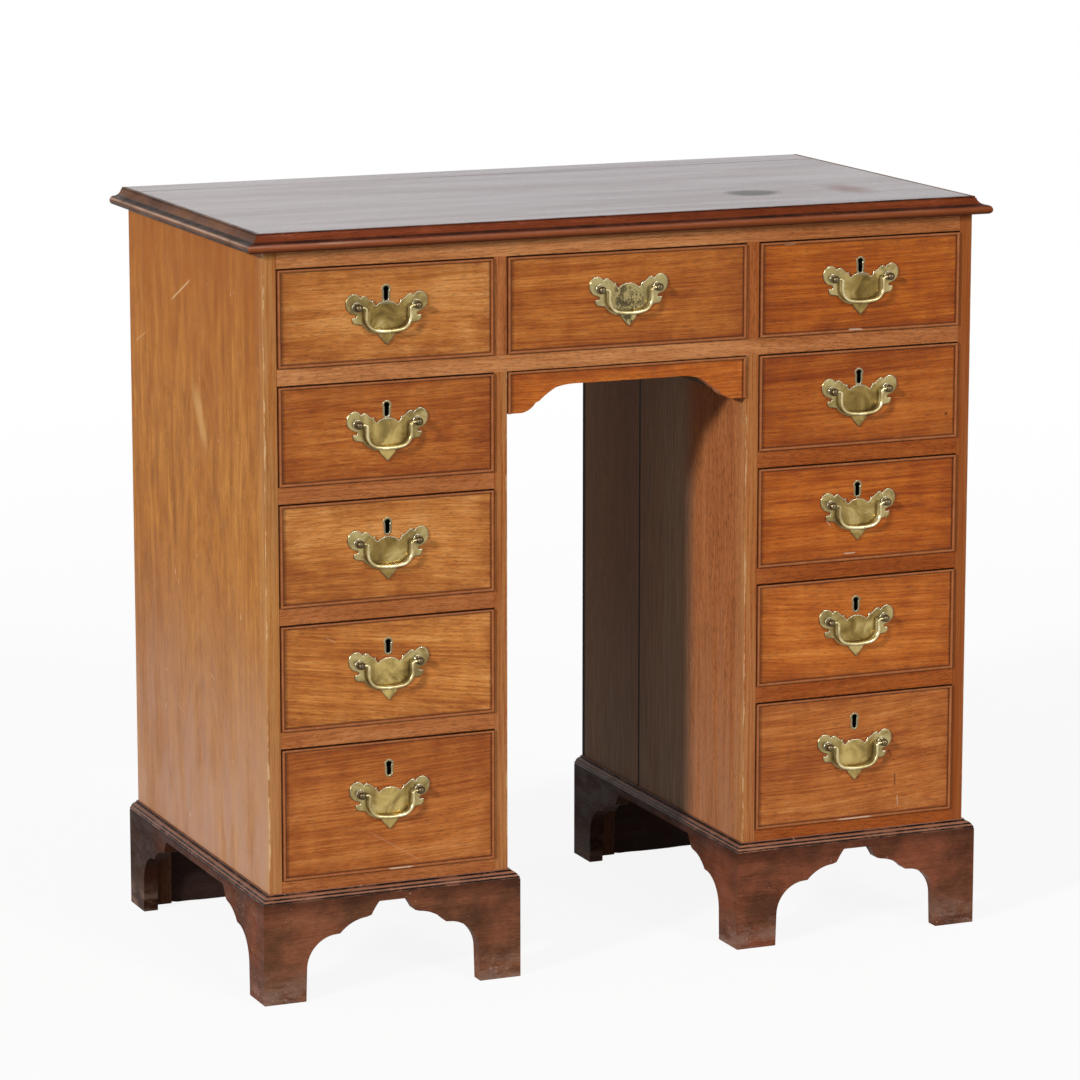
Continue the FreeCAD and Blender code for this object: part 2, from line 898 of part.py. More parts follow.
def nut(place):
    """Hexagonal nut on the end of a post, against the back of the drawer front."""
    corners = []
    for index in range(6):
        turn = math.radians(60 * index)
        corners.append(Vec(nut_radius * math.cos(turn), front_thickness, nut_radius * math.sin(turn)))
    body = prism(corners, Vec(0, nut_thickness, 0))
    hole = Part.makeCylinder(
        post_radius + post_clearance, nut_thickness, Vec(0, front_thickness, 0), Vec(0, 1, 0)
    )
    body = body.cut(hole)
    body.translate(place)
    return body


def pull_hardware(drawer):
    """Fixed brass and iron of one drawer."""
    pieces = [pull_plate(drawer)]
    for x, inward in zip(drawer.posts, (1, -1)):
        place = Vec(x, 0, drawer.pull_level)
        pieces += [post(place, inward), nut(place)]
    if drawer.locked:
        pieces += [thread_escutcheon(drawer), lock_case(drawer)]
    return pieces


def bail(drawer):
    """Cast bail: pins in the balls, straight arms, round corners and a gently bowed bottom."""
    arm = bail_span / 2
    bottom = bail_bottom_width / 2
    bow = (bottom ** 2 + bail_bottom_sag ** 2) / (bail_bottom_sag * 2)
    lean = math.asin(bottom / bow)
    corner = (arm - bottom) / (1 - math.sin(lean))
    bottom_end = -bail_drop + bail_bottom_sag
    arm_end = bottom_end + corner * math.cos(lean)
    pin_end = pull_boring / 2 - ball_radius + pin_entry
    bend_start = arm + bail_bend
    turn = Vec(0, 1, 0)
    corner_turn = 90 - math.degrees(lean)

    def section(place, sideways):
        """Eight-sided section of the bail at a place, lying along the sideways direction and y."""
        corners = []
        for index in range(bail_sides):
            angle = math.pi * (index * 2 + 1) / bail_sides
            offset = sideways * (bail_radius * math.cos(angle))
            corners.append(place + offset + Vec(0, bail_radius * math.sin(angle), 0))
        return Part.Face(Part.makePolygon(corners + corners[:1]))

    across = Vec(1, 0, 0)
    upwards = Vec(0, 0, 1)
    pin = Part.makeCylinder(pin_radius, pin_end - bend_start, Vec(bend_start, 0, 0), across)
    bend = section(Vec(bend_start, 0, 0), upwards).revolve(Vec(bend_start, 0, -bail_bend), turn, -90)
    straight = section(Vec(arm, 0, -bail_bend), across).extrude(Vec(0, 0, arm_end + bail_bend))
    corner_section = section(Vec(arm, 0, arm_end), across)
    round_corner = corner_section.revolve(Vec(arm - corner, 0, arm_end), turn, corner_turn)
    middle_section = section(Vec(0, 0, -bail_drop), upwards)
    bowed = middle_section.revolve(Vec(0, 0, bow - bail_drop), turn, -math.degrees(lean))
    half = [pin, bend, straight, round_corner, bowed]
    pieces = half + [mirrored_x(piece) for piece in half]
    whole = pieces[0].fuse(pieces[1:]).removeSplitter()
    whole.translate(Vec(drawer.middle, ball_middle, drawer.pull_level))
    return [whole]


# Apron drawer: a shallow tray behind the shaped apron, on two runners in the kneehole
apron_across = (-knee_face + side_gap, knee_face - side_gap)
apron_high = frieze_bottom - apron_gap
apron_low = frieze_bottom - apron_height
apron_arch = frieze_bottom - apron_middle_height
runner_top = apron_low + runner_lift + runner_height


def apron_drawer():
    left, right = apron_across
    rise = apron_arch - apron_low

    def from_left(share):
        return Vec(left + apron_end + apron_run * share[0], 0, apron_low + rise * share[1])

    edges = run_of_edges(Vec(left, 0, apron_low), [(None, from_left((0, 0)))])
    stretches = [(through and from_left(through), from_left(end)) for through, end in apron_shares]
    edges += run_of_edges(from_left((0, 0)), stretches)
    edges += [mirrored_x(edge) for edge in edges]
    around = (
        (None, Vec(left, 0, apron_high)),
        (None, Vec(right, 0, apron_high)),
        (None, Vec(right, 0, apron_low)),
    )
    edges += run_of_edges(Vec(left, 0, apron_low), around)
    summit = from_left(apron_shares[-1][1])
    edges += run_of_edges(summit, [(None, Vec(-summit.x, 0, summit.z))])
    front = drawn_out(edges, Vec(0, apron_thickness, 0))
    tray_floor = apron_arch + apron_tray_lift
    bottom = block(
        (left + lining_thickness - groove_depth, right - lining_thickness + groove_depth),
        (apron_thickness - groove_depth, apron_drawer_depth),
        (tray_floor, tray_floor + apron_tray_bottom_thickness),
    )
    sides, back, tails = drawer_box(
        apron_across,
        (runner_top + running_gap, apron_high - apron_side_drop),
        (tray_floor + apron_tray_bottom_thickness, apron_high - apron_side_drop),
        apron_drawer_depth,
        bottom,
        apron_thickness,
        (tails_in_apron, tails_in_apron),
    )
    upright = (apron_low, apron_high)
    front = front.cut(bead_rebates(apron_across, upright, False) + tails + [bottom])
    return [front, back, bottom] + sides + cock_beads(apron_across, upright, False)


def apron_runners():
    upright = (runner_top - runner_height, runner_top)
    depth = (apron_thickness + running_gap, apron_drawer_depth)
    runner = block((knee_face - runner_width, knee_face), depth, upright)
    return [mirrored_x(runner), runner]


# Write every node
os.makedirs("parts", exist_ok=True)

save("top_boards", top_boards())
save("top_edge_moulding", top_mouldings())
save("left_outer_side", [mirrored_x(outer_side())])
save("left_inner_side", [mirrored_x(board) for board in inner_side()])
save("right_inner_side", inner_side())
save("right_outer_side", [outer_side()])
save("upper_dividers", upper_dividers())
save("drawer_rails", drawer_rails())
save("dust_boards", dust_boards())
save("kickers_and_stops", kickers() + stops())
save("back_boards", back_boards())
save("base_mouldings", base_mouldings())
save("left_plinth", [mirrored_x(board) for board in right_plinth()])
save("right_plinth", right_plinth())
save("foot_blocks", foot_blocks())
save("apron_runners", apron_runners())

drawers = {"centre_drawer": Drawer(knee_bay, rows[0], centre_pull_share, False)}
for side_name, bay in bays.items():
    for number, row in enumerate(rows, 1):
        pull_share = bottom_pull_share if number == len(rows) else upper_pull_share
        drawers[f"{side_name}_drawer_{number}"] = Drawer(bay, row, pull_share, True)

for name, drawer in drawers.items():
    save(name, drawer_wood(drawer))
    save(name + "_pull", pull_hardware(drawer))
    save(name + "_bail", bail(drawer))
    if drawer.locked:
        save(name + "_bolt", lock_bolt(drawer))

save("apron_drawer", apron_drawer())
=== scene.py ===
import json
import math
from functools import partialmethod

import bpy
import numpy as np
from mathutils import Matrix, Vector


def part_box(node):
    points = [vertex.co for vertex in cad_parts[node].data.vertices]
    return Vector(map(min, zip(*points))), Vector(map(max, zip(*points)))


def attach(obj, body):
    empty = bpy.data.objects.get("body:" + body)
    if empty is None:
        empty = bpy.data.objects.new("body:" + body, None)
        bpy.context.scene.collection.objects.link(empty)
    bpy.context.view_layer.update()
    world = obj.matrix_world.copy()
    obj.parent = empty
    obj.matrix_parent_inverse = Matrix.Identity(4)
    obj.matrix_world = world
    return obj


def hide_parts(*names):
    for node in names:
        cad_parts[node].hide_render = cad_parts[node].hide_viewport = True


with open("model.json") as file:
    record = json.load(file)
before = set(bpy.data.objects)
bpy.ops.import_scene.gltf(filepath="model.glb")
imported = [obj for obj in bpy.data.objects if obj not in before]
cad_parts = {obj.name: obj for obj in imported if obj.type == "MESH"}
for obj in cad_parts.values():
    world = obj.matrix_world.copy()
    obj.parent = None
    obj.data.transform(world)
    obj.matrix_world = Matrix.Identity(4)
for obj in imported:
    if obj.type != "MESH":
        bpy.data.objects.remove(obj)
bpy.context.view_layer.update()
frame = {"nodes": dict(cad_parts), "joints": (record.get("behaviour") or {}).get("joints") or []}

# Plinths: arched mahogany boards 16 mm thick, mitred at the front corners, with rear brackets.
# The wood has gone dark, red and cloudy, and shoes and brooms have scuffed it pale towards the floor.
arris = 0.0007
crease = math.radians(32)
plinth_stops = (
    (0.0, (0.066, 0.019, 0.008)),
    (0.42, (0.140, 0.042, 0.018)),
    (0.7, (0.205, 0.070, 0.031)),
    (1.0, (0.290, 0.118, 0.056)),
)
plinth_mottle = ((0.0, (0.58, 0.66, 0.68)), (1.0, (1.46, 1.36, 1.34)))
plinth_side_front = (0.95, 0.98, 1.08)
plinth_side_rear = (0.60, 0.54, 0.49)
plinth_shadow = (0.018, 0.008, 0.005)
plinth_dirt = (0.030, 0.012, 0.008)
plinth_moulding_shade = (0.024, 0.009, 0.006)
plinth_worn = (0.290, 0.180, 0.135)
plinth_fleck = (0.45, 0.30, 0.23)
pore_colour = (0.045, 0.014, 0.006)


class Coat:
    """A new material with short calls that add and join its nodes, and the colour laid on so far."""

    def __init__(self, name, roughness, specular=0.5):
        self.material = bpy.data.materials.new(name)
        self.material.use_nodes = True
        self.tree = self.material.node_tree
        self.surface = self.tree.nodes["Principled BSDF"]
        self.surface.inputs["Roughness"].default_value = roughness
        self.surface.inputs["Specular IOR Level"].default_value = specular
        self.place = self.put("ShaderNodeTexCoord").outputs["Object"]
        self.colour = None

    def put(self, kind, sockets=None, **settings):
        """Add a node, set its settings, and fill or join its sockets."""
        node = self.tree.nodes.new(kind)
        for key, value in settings.items():
            setattr(node, key, value)
        for key, value in (sockets or {}).items():
            if isinstance(value, bpy.types.NodeSocket):
                self.tree.links.new(value, node.inputs[key])
            else:
                node.inputs[key].default_value = value
        return node

    def join(self, source, socket):
        """Lead a value into a socket of the surface."""
        self.tree.links.new(source, self.surface.inputs[socket])

    def stretch(self, scale, shift=(0, 0, 0), turn=(0, 0, 0), source=None):
        """Object coordinates turned, stretched and shifted."""
        sockets = {"Vector": source or self.place, "Scale": scale, "Location": shift, "Rotation": turn}
        return self.put("ShaderNodeMapping", sockets).outputs[0]

    def noise(self, source, scale, detail=3.0, rough=0.55, twist=0.0):
        """Cloudy value from 0 to 1 with a mean of a half."""
        sockets = {"Vector": source, "Scale": scale, "Detail": detail, "Roughness": rough}
        return self.put("ShaderNodeTexNoise", {**sockets, "Distortion": twist}).outputs[0]

    def clouds(self, scale, detail=3.0, rough=0.55, seed=0):
        """Noise on object coordinates, with a scale for each axis."""
        return self.noise(self.stretch(scale, (seed, seed, seed)), 1.0, detail, rough)

    def math(self, work, a, b=0.0):
        """One work of arithmetic on two values."""
        return self.put("ShaderNodeMath", {0: a, 1: b}, operation=work).outputs[0]

    # Short names for the works that the finishes use most.
    times = partialmethod(math, "MULTIPLY")
    plus = partialmethod(math, "ADD")
    minus = partialmethod(math, "SUBTRACT")
    least = partialmethod(math, "MINIMUM")
    most = partialmethod(math, "MAXIMUM")
    below = partialmethod(math, "LESS_THAN")
    above = partialmethod(math, "GREATER_THAN")

    def away(self, value, level=0.0):
        """Distance of a value from a level."""
        return self.math("ABSOLUTE", self.minus(value, level))

    def span(self, a, b):
        """Length of two steps at a right angle."""
        return self.math("SQRT", self.plus(self.times(a, a), self.times(b, b)))

    def band(self, value, low, high, to_low=0.0, to_high=1.0):
        """Value carried smoothly from one range to another and held at its ends."""
        sockets = {"Value": value, "From Min": low, "From Max": high, "To Min": to_low, "To Max": to_high}
        return self.put("ShaderNodeMapRange", sockets, interpolation_type="SMOOTHSTEP").outputs[0]

    def line(self, value, level, inner, outer, strength):
        """Stripe at a level of a value, full to the inner distance and gone at the outer."""
        return self.band(self.away(value, level), inner, outer, strength, 0.0)

    def tones(self, value, stops):
        """Colour ramp through (place, colour) stops."""
        node = self.put("ShaderNodeValToRGB", {"Fac": value})
        elements = node.color_ramp.elements
        while len(elements) < len(stops):
            elements.new(0.5)
        for element, (place, colour) in zip(elements, stops):
            element.position = place
            element.color = (*colour, 1.0)
        return node.outputs[0]

    def mix(self, amount, first, second, how="MIX"):
        """Second colour laid over the first by an amount."""
        node = self.put("ShaderNodeMix", {0: amount}, data_type="RGBA", blend_type=how)
        for socket, colour in ((node.inputs[6], first), (node.inputs[7], second)):
            if isinstance(colour, bpy.types.NodeSocket):
                self.tree.links.new(colour, socket)
            else:
                socket.default_value = (*colour, 1.0)
        return node.outputs[2]

    def lay(self, amount, colour, how="MIX"):
        """Lay a colour over the finish by an amount."""
        self.colour = self.mix(amount, self.colour, colour, how)

    def axis(self, source=None):
        """The x, y and z of a place."""
        return self.put("ShaderNodeSeparateXYZ", {0: source or self.place}).outputs

    def done(self, roughness, height, depth, normal=None):
        """Join the colour, any roughness and a relief with a depth in metres, and give the material."""
        self.join(self.colour, "Base Color")
        if roughness is not None:
            self.join(roughness, "Roughness")
        sockets = {"Height": height, "Distance": depth}
        if normal is not None:
            sockets["Normal"] = normal
        self.join(self.put("ShaderNodeBump", sockets).outputs[0], "Normal")
        return self.material


grain_axes = {"x": 0, "y": 1, "z": 2}


def grain_scale(grain, along, across):
    """Stretch that draws a pattern out along the grain."""
    scale = [across, across, across]
    scale[grain_axes[grain]] = along
    return scale


def wood_grain(coat, grain, stops, seed, turn=(0, 0, 0), source=None,
               shares=(1.15, 0.85, 0.5, 0.28), pores=0.3):
    """Colour, relief and fibres of a sawn board.

    Clouds drawn out along the grain give broad figure, growth bands, fibres and a faint cross ribbon.
    Their sum, weighted by the shares, runs through the tones, and short dark ticks along the grain
    are the open pores.
    """
    shift = (seed * 1.37, seed * 2.11, seed * 0.73)
    board = coat.stretch((1, 1, 1), shift, turn, source)
    bend = coat.noise(coat.stretch(grain_scale(grain, 1.4, 5.0), source=board), 1.0, 1.0)
    sway = coat.times(coat.minus(bend, 0.5), 0.06)
    across = [0 if index == grain_axes[grain] else sway for index in range(3)]
    offset = coat.put("ShaderNodeCombineXYZ", dict(enumerate(across))).outputs[0]
    moved = coat.put("ShaderNodeVectorMath", {0: board, 1: offset}, operation="ADD").outputs[0]

    def cloud(along, wide, detail):
        return coat.noise(coat.stretch(grain_scale(grain, along, wide), source=moved), 1.0, detail)

    broad = cloud(1.7, 11.0, 2.0)
    bands = cloud(2.8, 85.0, 3.0)
    fibre = cloud(15.0, 480.0, 2.0)
    ribbon = cloud(48.0, 26.0, 1.0)
    ticks = cloud(125.0, 1150.0, 1.0)
    total = 0.5
    for value, share in zip((broad, bands, fibre, ribbon), shares):
        total = coat.plus(total, coat.times(coat.minus(value, 0.5), share))
    tick = coat.band(ticks, 0.53, 0.68)
    colour = coat.mix(coat.times(tick, pores), coat.tones(total, stops), pore_colour)
    return colour, coat.minus(fibre, tick), fibre


def run_place(coat, middle, half, front, source=None):
    """Place on a strip that turns its mitred corner, with its grain always along x."""
    source = source or coat.place
    x, y, z = coat.axis(source)
    on_side = coat.above(coat.minus(coat.away(x, middle), half), coat.minus(front, y))
    turned = coat.put("ShaderNodeCombineXYZ", {0: y, 1: x, 2: z}).outputs[0]
    node = coat.put("ShaderNodeMix", {0: on_side, 4: source, 5: turned}, data_type="VECTOR")
    return node.outputs[1], on_side


soft_edges = bpy.data.node_groups.new("soft_edges", "GeometryNodeTree")
soft_edges.interface.new_socket("Geometry", in_out="INPUT", socket_type="NodeSocketGeometry")
soft_edges.interface.new_socket("Geometry", in_out="OUTPUT", socket_type="NodeSocketGeometry")
soft_nodes = {}
for soft_key, soft_kind in (
    ("in", "NodeGroupInput"),
    ("faces", "GeometryNodeSetShadeSmooth"),
    ("angle", "GeometryNodeInputMeshEdgeAngle"),
    ("steep", "FunctionNodeCompare"),
    ("sides", "GeometryNodeInputMeshEdgeNeighbors"),
    ("seam", "FunctionNodeCompare"),
    ("either", "FunctionNodeBooleanMath"),
    ("edges", "GeometryNodeSetShadeSmooth"),
    ("out", "NodeGroupOutput"),
):
    soft_nodes[soft_key] = soft_edges.nodes.new(soft_kind)
soft_nodes["faces"].domain = "FACE"
soft_nodes["edges"].domain = "EDGE"
soft_nodes["edges"].inputs["Shade Smooth"].default_value = False
soft_nodes["steep"].operation = "GREATER_THAN"
soft_nodes["steep"].inputs[1].default_value = crease
soft_nodes["seam"].data_type = "INT"
soft_nodes["seam"].operation = "NOT_EQUAL"
soft_nodes["seam"].inputs[3].default_value = 2
soft_nodes["either"].operation = "OR"
for soft_key, soft_next, soft_socket in (
    ("in", "faces", "Geometry"),
    ("faces", "edges", "Geometry"),
    ("angle", "steep", 0),
    ("sides", "seam", 2),
    ("steep", "either", 0),
    ("seam", "either", 1),
    ("either", "edges", "Selection"),
    ("edges", "out", 0),
):
    soft_edges.links.new(soft_nodes[soft_key].outputs[0], soft_nodes[soft_next].inputs[soft_socket])


def dress(node, material, edge):
    """Give a node its finish, merge its facets, round its edges off a little and keep flat faces flat."""
    piece = frame["nodes"][node]
    piece.data.materials.clear()
    piece.data.materials.append(material)
    weld = piece.modifiers.new("weld", "WELD")
    weld.merge_threshold = 1e-6
    flat = piece.modifiers.new("flat", "DECIMATE")
    flat.decimate_type = "DISSOLVE"
    flat.angle_limit = math.radians(0.5)
    if edge:
        bevel = piece.modifiers.new("arris", "BEVEL")
        bevel.width = edge
        bevel.segments = 2
        bevel.limit_method = "ANGLE"
        bevel.angle_limit = crease
        bevel.use_clamp_overlap = True
    smooth = piece.modifiers.new("smooth", "NODES")
    smooth.node_group = soft_edges
    if edge:
        even = piece.modifiers.new("even", "WEIGHTED_NORMAL")
        even.keep_sharp = True


def plinth_finish(node, seed, front_tone):
    """Dark red cloudy board scuffed pale towards the floor, darker on its sides, with painted shade at the
    back and under the base moulding.
    """
    low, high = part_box(node)
    coat = Coat(node + "_mahogany", 0.48, 0.02)
    place, on_side = run_place(coat, (low.x + high.x) / 2, (high.x - low.x) / 2, low.y)
    shares = (0.45, 0.25, 0.35, 0.1)
    coat.colour, height, _ = wood_grain(
        coat, "x", plinth_stops, seed, source=place, shares=shares, pores=0.2)
    _, y, z = coat.axis()
    mottle = coat.clouds((15, 15, 21), 5.0, 0.65, seed)
    coat.lay(1.0, coat.tones(coat.band(mottle, 0.32, 0.68), plinth_mottle), "MULTIPLY")
    side_tone = coat.mix(coat.band(y, low.y, low.y + 0.13), plinth_side_front, plinth_side_rear)
    coat.lay(1.0, coat.mix(on_side, front_tone, side_tone), "MULTIPLY")
    coat.lay(coat.band(y, low.y + 0.20, high.y - 0.04, 0.0, 0.8), plinth_shadow)
    dirt = coat.clouds((14, 14, 9), 4.0, 0.6)
    coat.lay(coat.band(dirt, 0.48, 0.75, 0.0, 0.4), plinth_dirt)
    # Painted shade along the top of the plinth, under the base moulding.
    coat.lay(coat.band(z, high.z - 0.016, high.z, 0.0, 0.45), plinth_moulding_shade)
    scuff = coat.clouds((30, 30, 75), 5.0, 0.65)
    near_floor = coat.band(z, 0.0, 0.045, 1.0, 0.0)
    worn = coat.times(coat.band(scuff, 0.40, 0.62), near_floor)
    coat.lay(coat.times(worn, 0.6), plinth_worn)
    specks = coat.noise(coat.place, 330.0, 1.0)
    patches = coat.noise(coat.place, 19.0, 2.0)
    chance = coat.most(coat.band(patches, 0.56, 0.66), coat.times(near_floor, 0.8))
    fleck = coat.times(coat.band(specks, 0.68, 0.74), chance)
    fleck = coat.times(fleck, coat.band(y, low.y + 0.01, low.y + 0.25, 0.75, 0.10))
    coat.lay(fleck, plinth_fleck)
    return coat.done(coat.band(scuff, 0.35, 0.65, 0.34, 0.55), coat.plus(height, scuff), 0.0002)


dress("left_plinth", plinth_finish("left_plinth", 1, (1.00, 1.18, 1.36)), arris)
dress("right_plinth", plinth_finish("right_plinth", 2, (1.00, 1.04, 1.22)), arris)

# Glue blocks: square softwood lengths rubbed into the corners behind the plinth boards.
# Dry, brown with age and dark with dust.
block_stops = ((0.0, (0.060, 0.020, 0.010)), (0.5, (0.135, 0.050, 0.024)), (1.0, (0.215, 0.095, 0.046)))
dust_colour = (0.10, 0.085, 0.07)


def lay_dust(coat):
    """Lay grey dust on bare wood in clouds."""
    blotches = coat.noise(coat.place, 9.0, 4.0, 0.6)
    coat.lay(coat.band(blotches, 0.45, 0.8, 0.0, 0.35), dust_colour)


def lining_finish(name, grain, stops, seed, rough):
    """Unpolished secondary wood with open pores and dust."""
    coat = Coat(name, rough, 0.15)
    coat.colour, height, _ = wood_grain(coat, grain, stops, seed, pores=0.5)
    lay_dust(coat)
    return coat.done(None, height, 0.0004)


dress("foot_blocks", lining_finish("dusty_block", "z", block_stops, 3, 0.85), arris)

# Plinth backs: a plain sawn board behind the rear brackets of each plinth, between the glue blocks.
# Never polished and dusty, and its wood is painted nearly black as painted shade under the pedestal.
back_shade_stops = ((0.0, (0.016, 0.008, 0.006)), (0.5, (0.034, 0.016, 0.012)), (1.0, (0.062, 0.031, 0.022)))
plinth_thickness = 0.016
block_size = 0.019
back_thickness = 0.012
back_lift = 0.0015
back_gap = 0.0003
back_soft = 0.0015
saw_wave = 90


def plank_surface(low, high, soft, stations=25, corner=5):
    """Grid of points on a sawn plank between two corners.

    The section is a rectangle in y and z whose corners are quarter circles of radius soft. It is carried
    along x, turns back by a quarter circle at both ends, out of sight between the blocks, and a slow wave
    of a third of soft lifts the lower edge as a saw leaves it.
    """
    middle = (low + high) / 2
    core = (high - low) / 2 - soft
    quarter = np.linspace(0, math.pi / 2, corner)
    angle = np.concatenate([quarter + turn * math.pi / 2 for turn in range(4)])
    core_y = np.repeat([1, -1, -1, 1], corner) * core[1]
    core_z = np.repeat([1, 1, -1, -1], corner) * core[2]
    left = low[0] + soft * (1 - np.cos(quarter[::-1]))
    right = 2 * middle[0] - left[::-1]
    along = np.concatenate([left, np.linspace(left[-1], right[0], stations)[1:-1], right])
    drawn = soft * (1 - np.sin(quarter))
    drawn = np.concatenate([drawn[::-1], np.zeros(stations - 2), drawn])
    reach = (soft - drawn)[:, None]
    wave = np.sin((along - along[0]) * saw_wave)[:, None] * soft / 3 * (np.sin(angle) < 0)
    y = middle[1] + core_y + reach * np.cos(angle)
    z = middle[2] + core_z + reach * np.sin(angle) + np.maximum(wave, 0)
    return np.stack([np.repeat(along[:, None], len(angle), 1), y, z], 2)


def grid_mesh(name, grid):
    """Mesh of a tube from a grid of points, closed round the section and capped at both ends."""
    rows, columns = grid.shape[:2]
    index = np.arange(rows * columns).reshape(rows, columns)
    beside = np.roll(index, -1, axis=1)
    quads = np.stack([index[:-1], beside[:-1], beside[1:], index[1:]], 2).reshape(-1, 4)
    faces = quads.tolist() + [index[0, ::-1].tolist(), index[-1].tolist()]
    mesh = bpy.data.meshes.new(name)
    mesh.from_pydata(grid.reshape(-1, 3).tolist(), [], faces)
    mesh.polygons.foreach_set("use_smooth", np.ones(len(faces), bool))
    mesh.update()
    return mesh


for plinth_name in ("left_plinth", "right_plinth"):
    back_name = plinth_name + "_back"
    plinth_low, plinth_high = (np.array(corner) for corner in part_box(plinth_name))
    corner_inset = plinth_thickness + block_size + back_gap
    back_rear = plinth_high[1] - plinth_thickness - back_gap
    back_low = np.array([plinth_low[0] + corner_inset, back_rear - back_thickness, back_lift])
    back_high = np.array([plinth_high[0] - corner_inset, back_rear, plinth_high[2]])
    back_mesh = grid_mesh(back_name, plank_surface(back_low, back_high, back_soft))
    # The nearly black tones of the back are painted shade.
    back_mesh.materials.append(lining_finish(back_name + "_wood", "x", back_shade_stops, 33, 0.9))
    plinth_back = bpy.data.objects.new(back_name, back_mesh)
    bpy.context.scene.collection.objects.link(plinth_back)
    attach(plinth_back, "carcass")

# Base mouldings: three mitred strips round each pedestal, bedded on the plinth and glued to the case.
# The same dark red wood as the plinth, rubbed through on the rounds, with grime and painted shade black in
# the quirks.
base_stops = (
    (0.0, (0.170, 0.066, 0.036)),
    (0.5, (0.385, 0.163, 0.091)),
    (1.0, (0.530, 0.264, 0.162)),
)
base_quirks = (0.18, 0.52, 0.86)
base_side_tone = (0.60, 0.56, 0.54)
quirk_grime_and_shade = (0.016, 0.007, 0.005)
knock_colour = (0.55, 0.36, 0.24)
as_it_is = (1.0, 1.0, 1.0)
moulding_relief = 0.0002


def moulding_wood(coat, place, stops, seed, hollow):
    """Polished strip with grime and painted shade in its hollows and small pale knocks; gives its roughness
    and relief.
    """
    coat.colour, height, _ = wood_grain(coat, "x", stops, seed, source=place)
    dirt = coat.noise(coat.place, 38.0, 4.0, 0.65)
    # Grime and painted shade along the given mask, broken up by clouds.
    coat.lay(coat.times(coat.band(dirt, 0.35, 0.65, 0.35, 1.0), hollow), quirk_grime_and_shade)
    knocks = coat.clouds((150, 150, 260), 1.0)
    coat.lay(coat.band(knocks, 0.76, 0.82, 0.0, 0.6), knock_colour)
    return coat.band(dirt, 0.3, 0.7, 0.26, 0.44), height


def base_moulding_finish():
    """Strips round both pedestals, with grime and painted shade in the quirks and where they meet the
    plinth.
    """
    low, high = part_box("right_plinth")
    moulding_low, moulding_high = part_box("base_mouldings")
    coat = Coat("base_moulding_mahogany", 0.34, 0.10)
    x, y, z = coat.axis()
    mirrored = coat.put("ShaderNodeCombineXYZ", {0: coat.away(x), 1: y, 2: z}).outputs[0]
    place, on_side = run_place(coat, (low.x + high.x) / 2, (high.x - low.x) / 2, low.y, mirrored)
    # Grime and painted shade where the moulding meets the plinth and in each quirk.
    grime_and_shade = coat.band(z, moulding_low.z, moulding_low.z + 0.0012, 1.5, 0.0)
    for share in base_quirks:
        level = moulding_low.z + (moulding_high.z - moulding_low.z) * share
        grime_and_shade = coat.most(grime_and_shade, coat.line(z, level, 0.0003, 0.0011, 1.9))
    polish, height = moulding_wood(coat, place, base_stops, 4, grime_and_shade)
    coat.lay(1.0, coat.mix(on_side, as_it_is, base_side_tone), "MULTIPLY")
    return coat.done(polish, height, moulding_relief)


dress("base_mouldings", base_moulding_finish(), 0)

# Outer sides: one wide board each, grain upright, glued on the plinth and housed for the rails.
# Sun has faded them to tan, with a pale flame in the middle, scratches and a worn front arris.
side_stops = (
    (0.0, (0.255, 0.077, 0.009)),
    (0.34, (0.360, 0.122, 0.016)),
    (0.64, (0.445, 0.171, 0.027)),
    (1.0, (0.545, 0.240, 0.053)),
)
side_mottle = ((0.0, (0.80, 0.74, 0.66)), (1.0, (1.22, 1.28, 1.40)))
side_lean = (0.03, 0, 0)
ring_colour = (0.53, 0.235, 0.058)
flame_colour = (0.66, 0.38, 0.14)
floor_reflection_colour = (0.485, 0.298, 0.216)
rich_colour = (0.335, 0.086, 0.004)
scratch_colour = (0.66, 0.42, 0.21)
speck_colour = (0.70, 0.50, 0.34)
side_worn = (0.560, 0.300, 0.115)
side_rear = (0.085, 0.046, 0.024)
bare_arris = (0.70, 0.48, 0.26)
case_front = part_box("drawer_rails")[0].y
skin = 0.0004
flame_place = (case_front + 0.194, 0.569)
side_scratches = (
    ((0.285, 0.677), (0.216, 0.709), 0.0030, 0.75),
    ((0.405, 0.618), (0.364, 0.634), 0.0026, 0.40),
    ((0.020, 0.646), (0.010, 0.640), 0.0016, 0.30),
    ((0.175, 0.306), (0.158, 0.300), 0.0030, 0.35),
    ((0.290, 0.252), (0.258, 0.244), 0.0020, 0.25),
)


def line_mask(coat, across, upright, start, end, width):
    """Soft mask of a straight scratch between two points of a flat face."""
    run = (end[0] - start[0], end[1] - start[1])
    length = math.hypot(*run)
    way = (run[0] / length, run[1] / length)
    over = coat.minus(across, start[0])
    up = coat.minus(upright, start[1])
    along = coat.plus(coat.times(over, way[0]), coat.times(up, way[1]))
    aside = coat.minus(coat.times(over, way[1]), coat.times(up, way[0]))
    inside = coat.line(along, length / 2, length * 0.3, length * 0.5, 1.0)
    return coat.times(inside, coat.band(coat.away(aside), width * 0.2, width * 0.5, 1.0, 0.0))


def worn_arris(coat, x, y, edge, pale, wear):
    """Front corner of an upright board that stands at x equal to edge, worn by a share of wear.

    The polish thins over a few centimetres in streaks, and a broken pale line follows the corner itself.
    """
    away = coat.span(coat.minus(x, edge), coat.minus(y, case_front))
    streaks = coat.clouds((420, 420, 9), 3.0, 0.6)
    thin = coat.band(away, 0.0, 0.030, 0.5 * wear, 0.0)
    coat.lay(coat.times(thin, coat.band(streaks, 0.3, 0.62)), pale)
    ragged = coat.clouds((170, 170, 34), 5.0, 0.75)
    reach = coat.band(ragged, 0.38, 0.70, -0.0010, 0.0022)
    coat.lay(coat.band(coat.minus(away, reach), -0.0006, 0.0006, 0.65 * wear, 0.0), bare_arris)


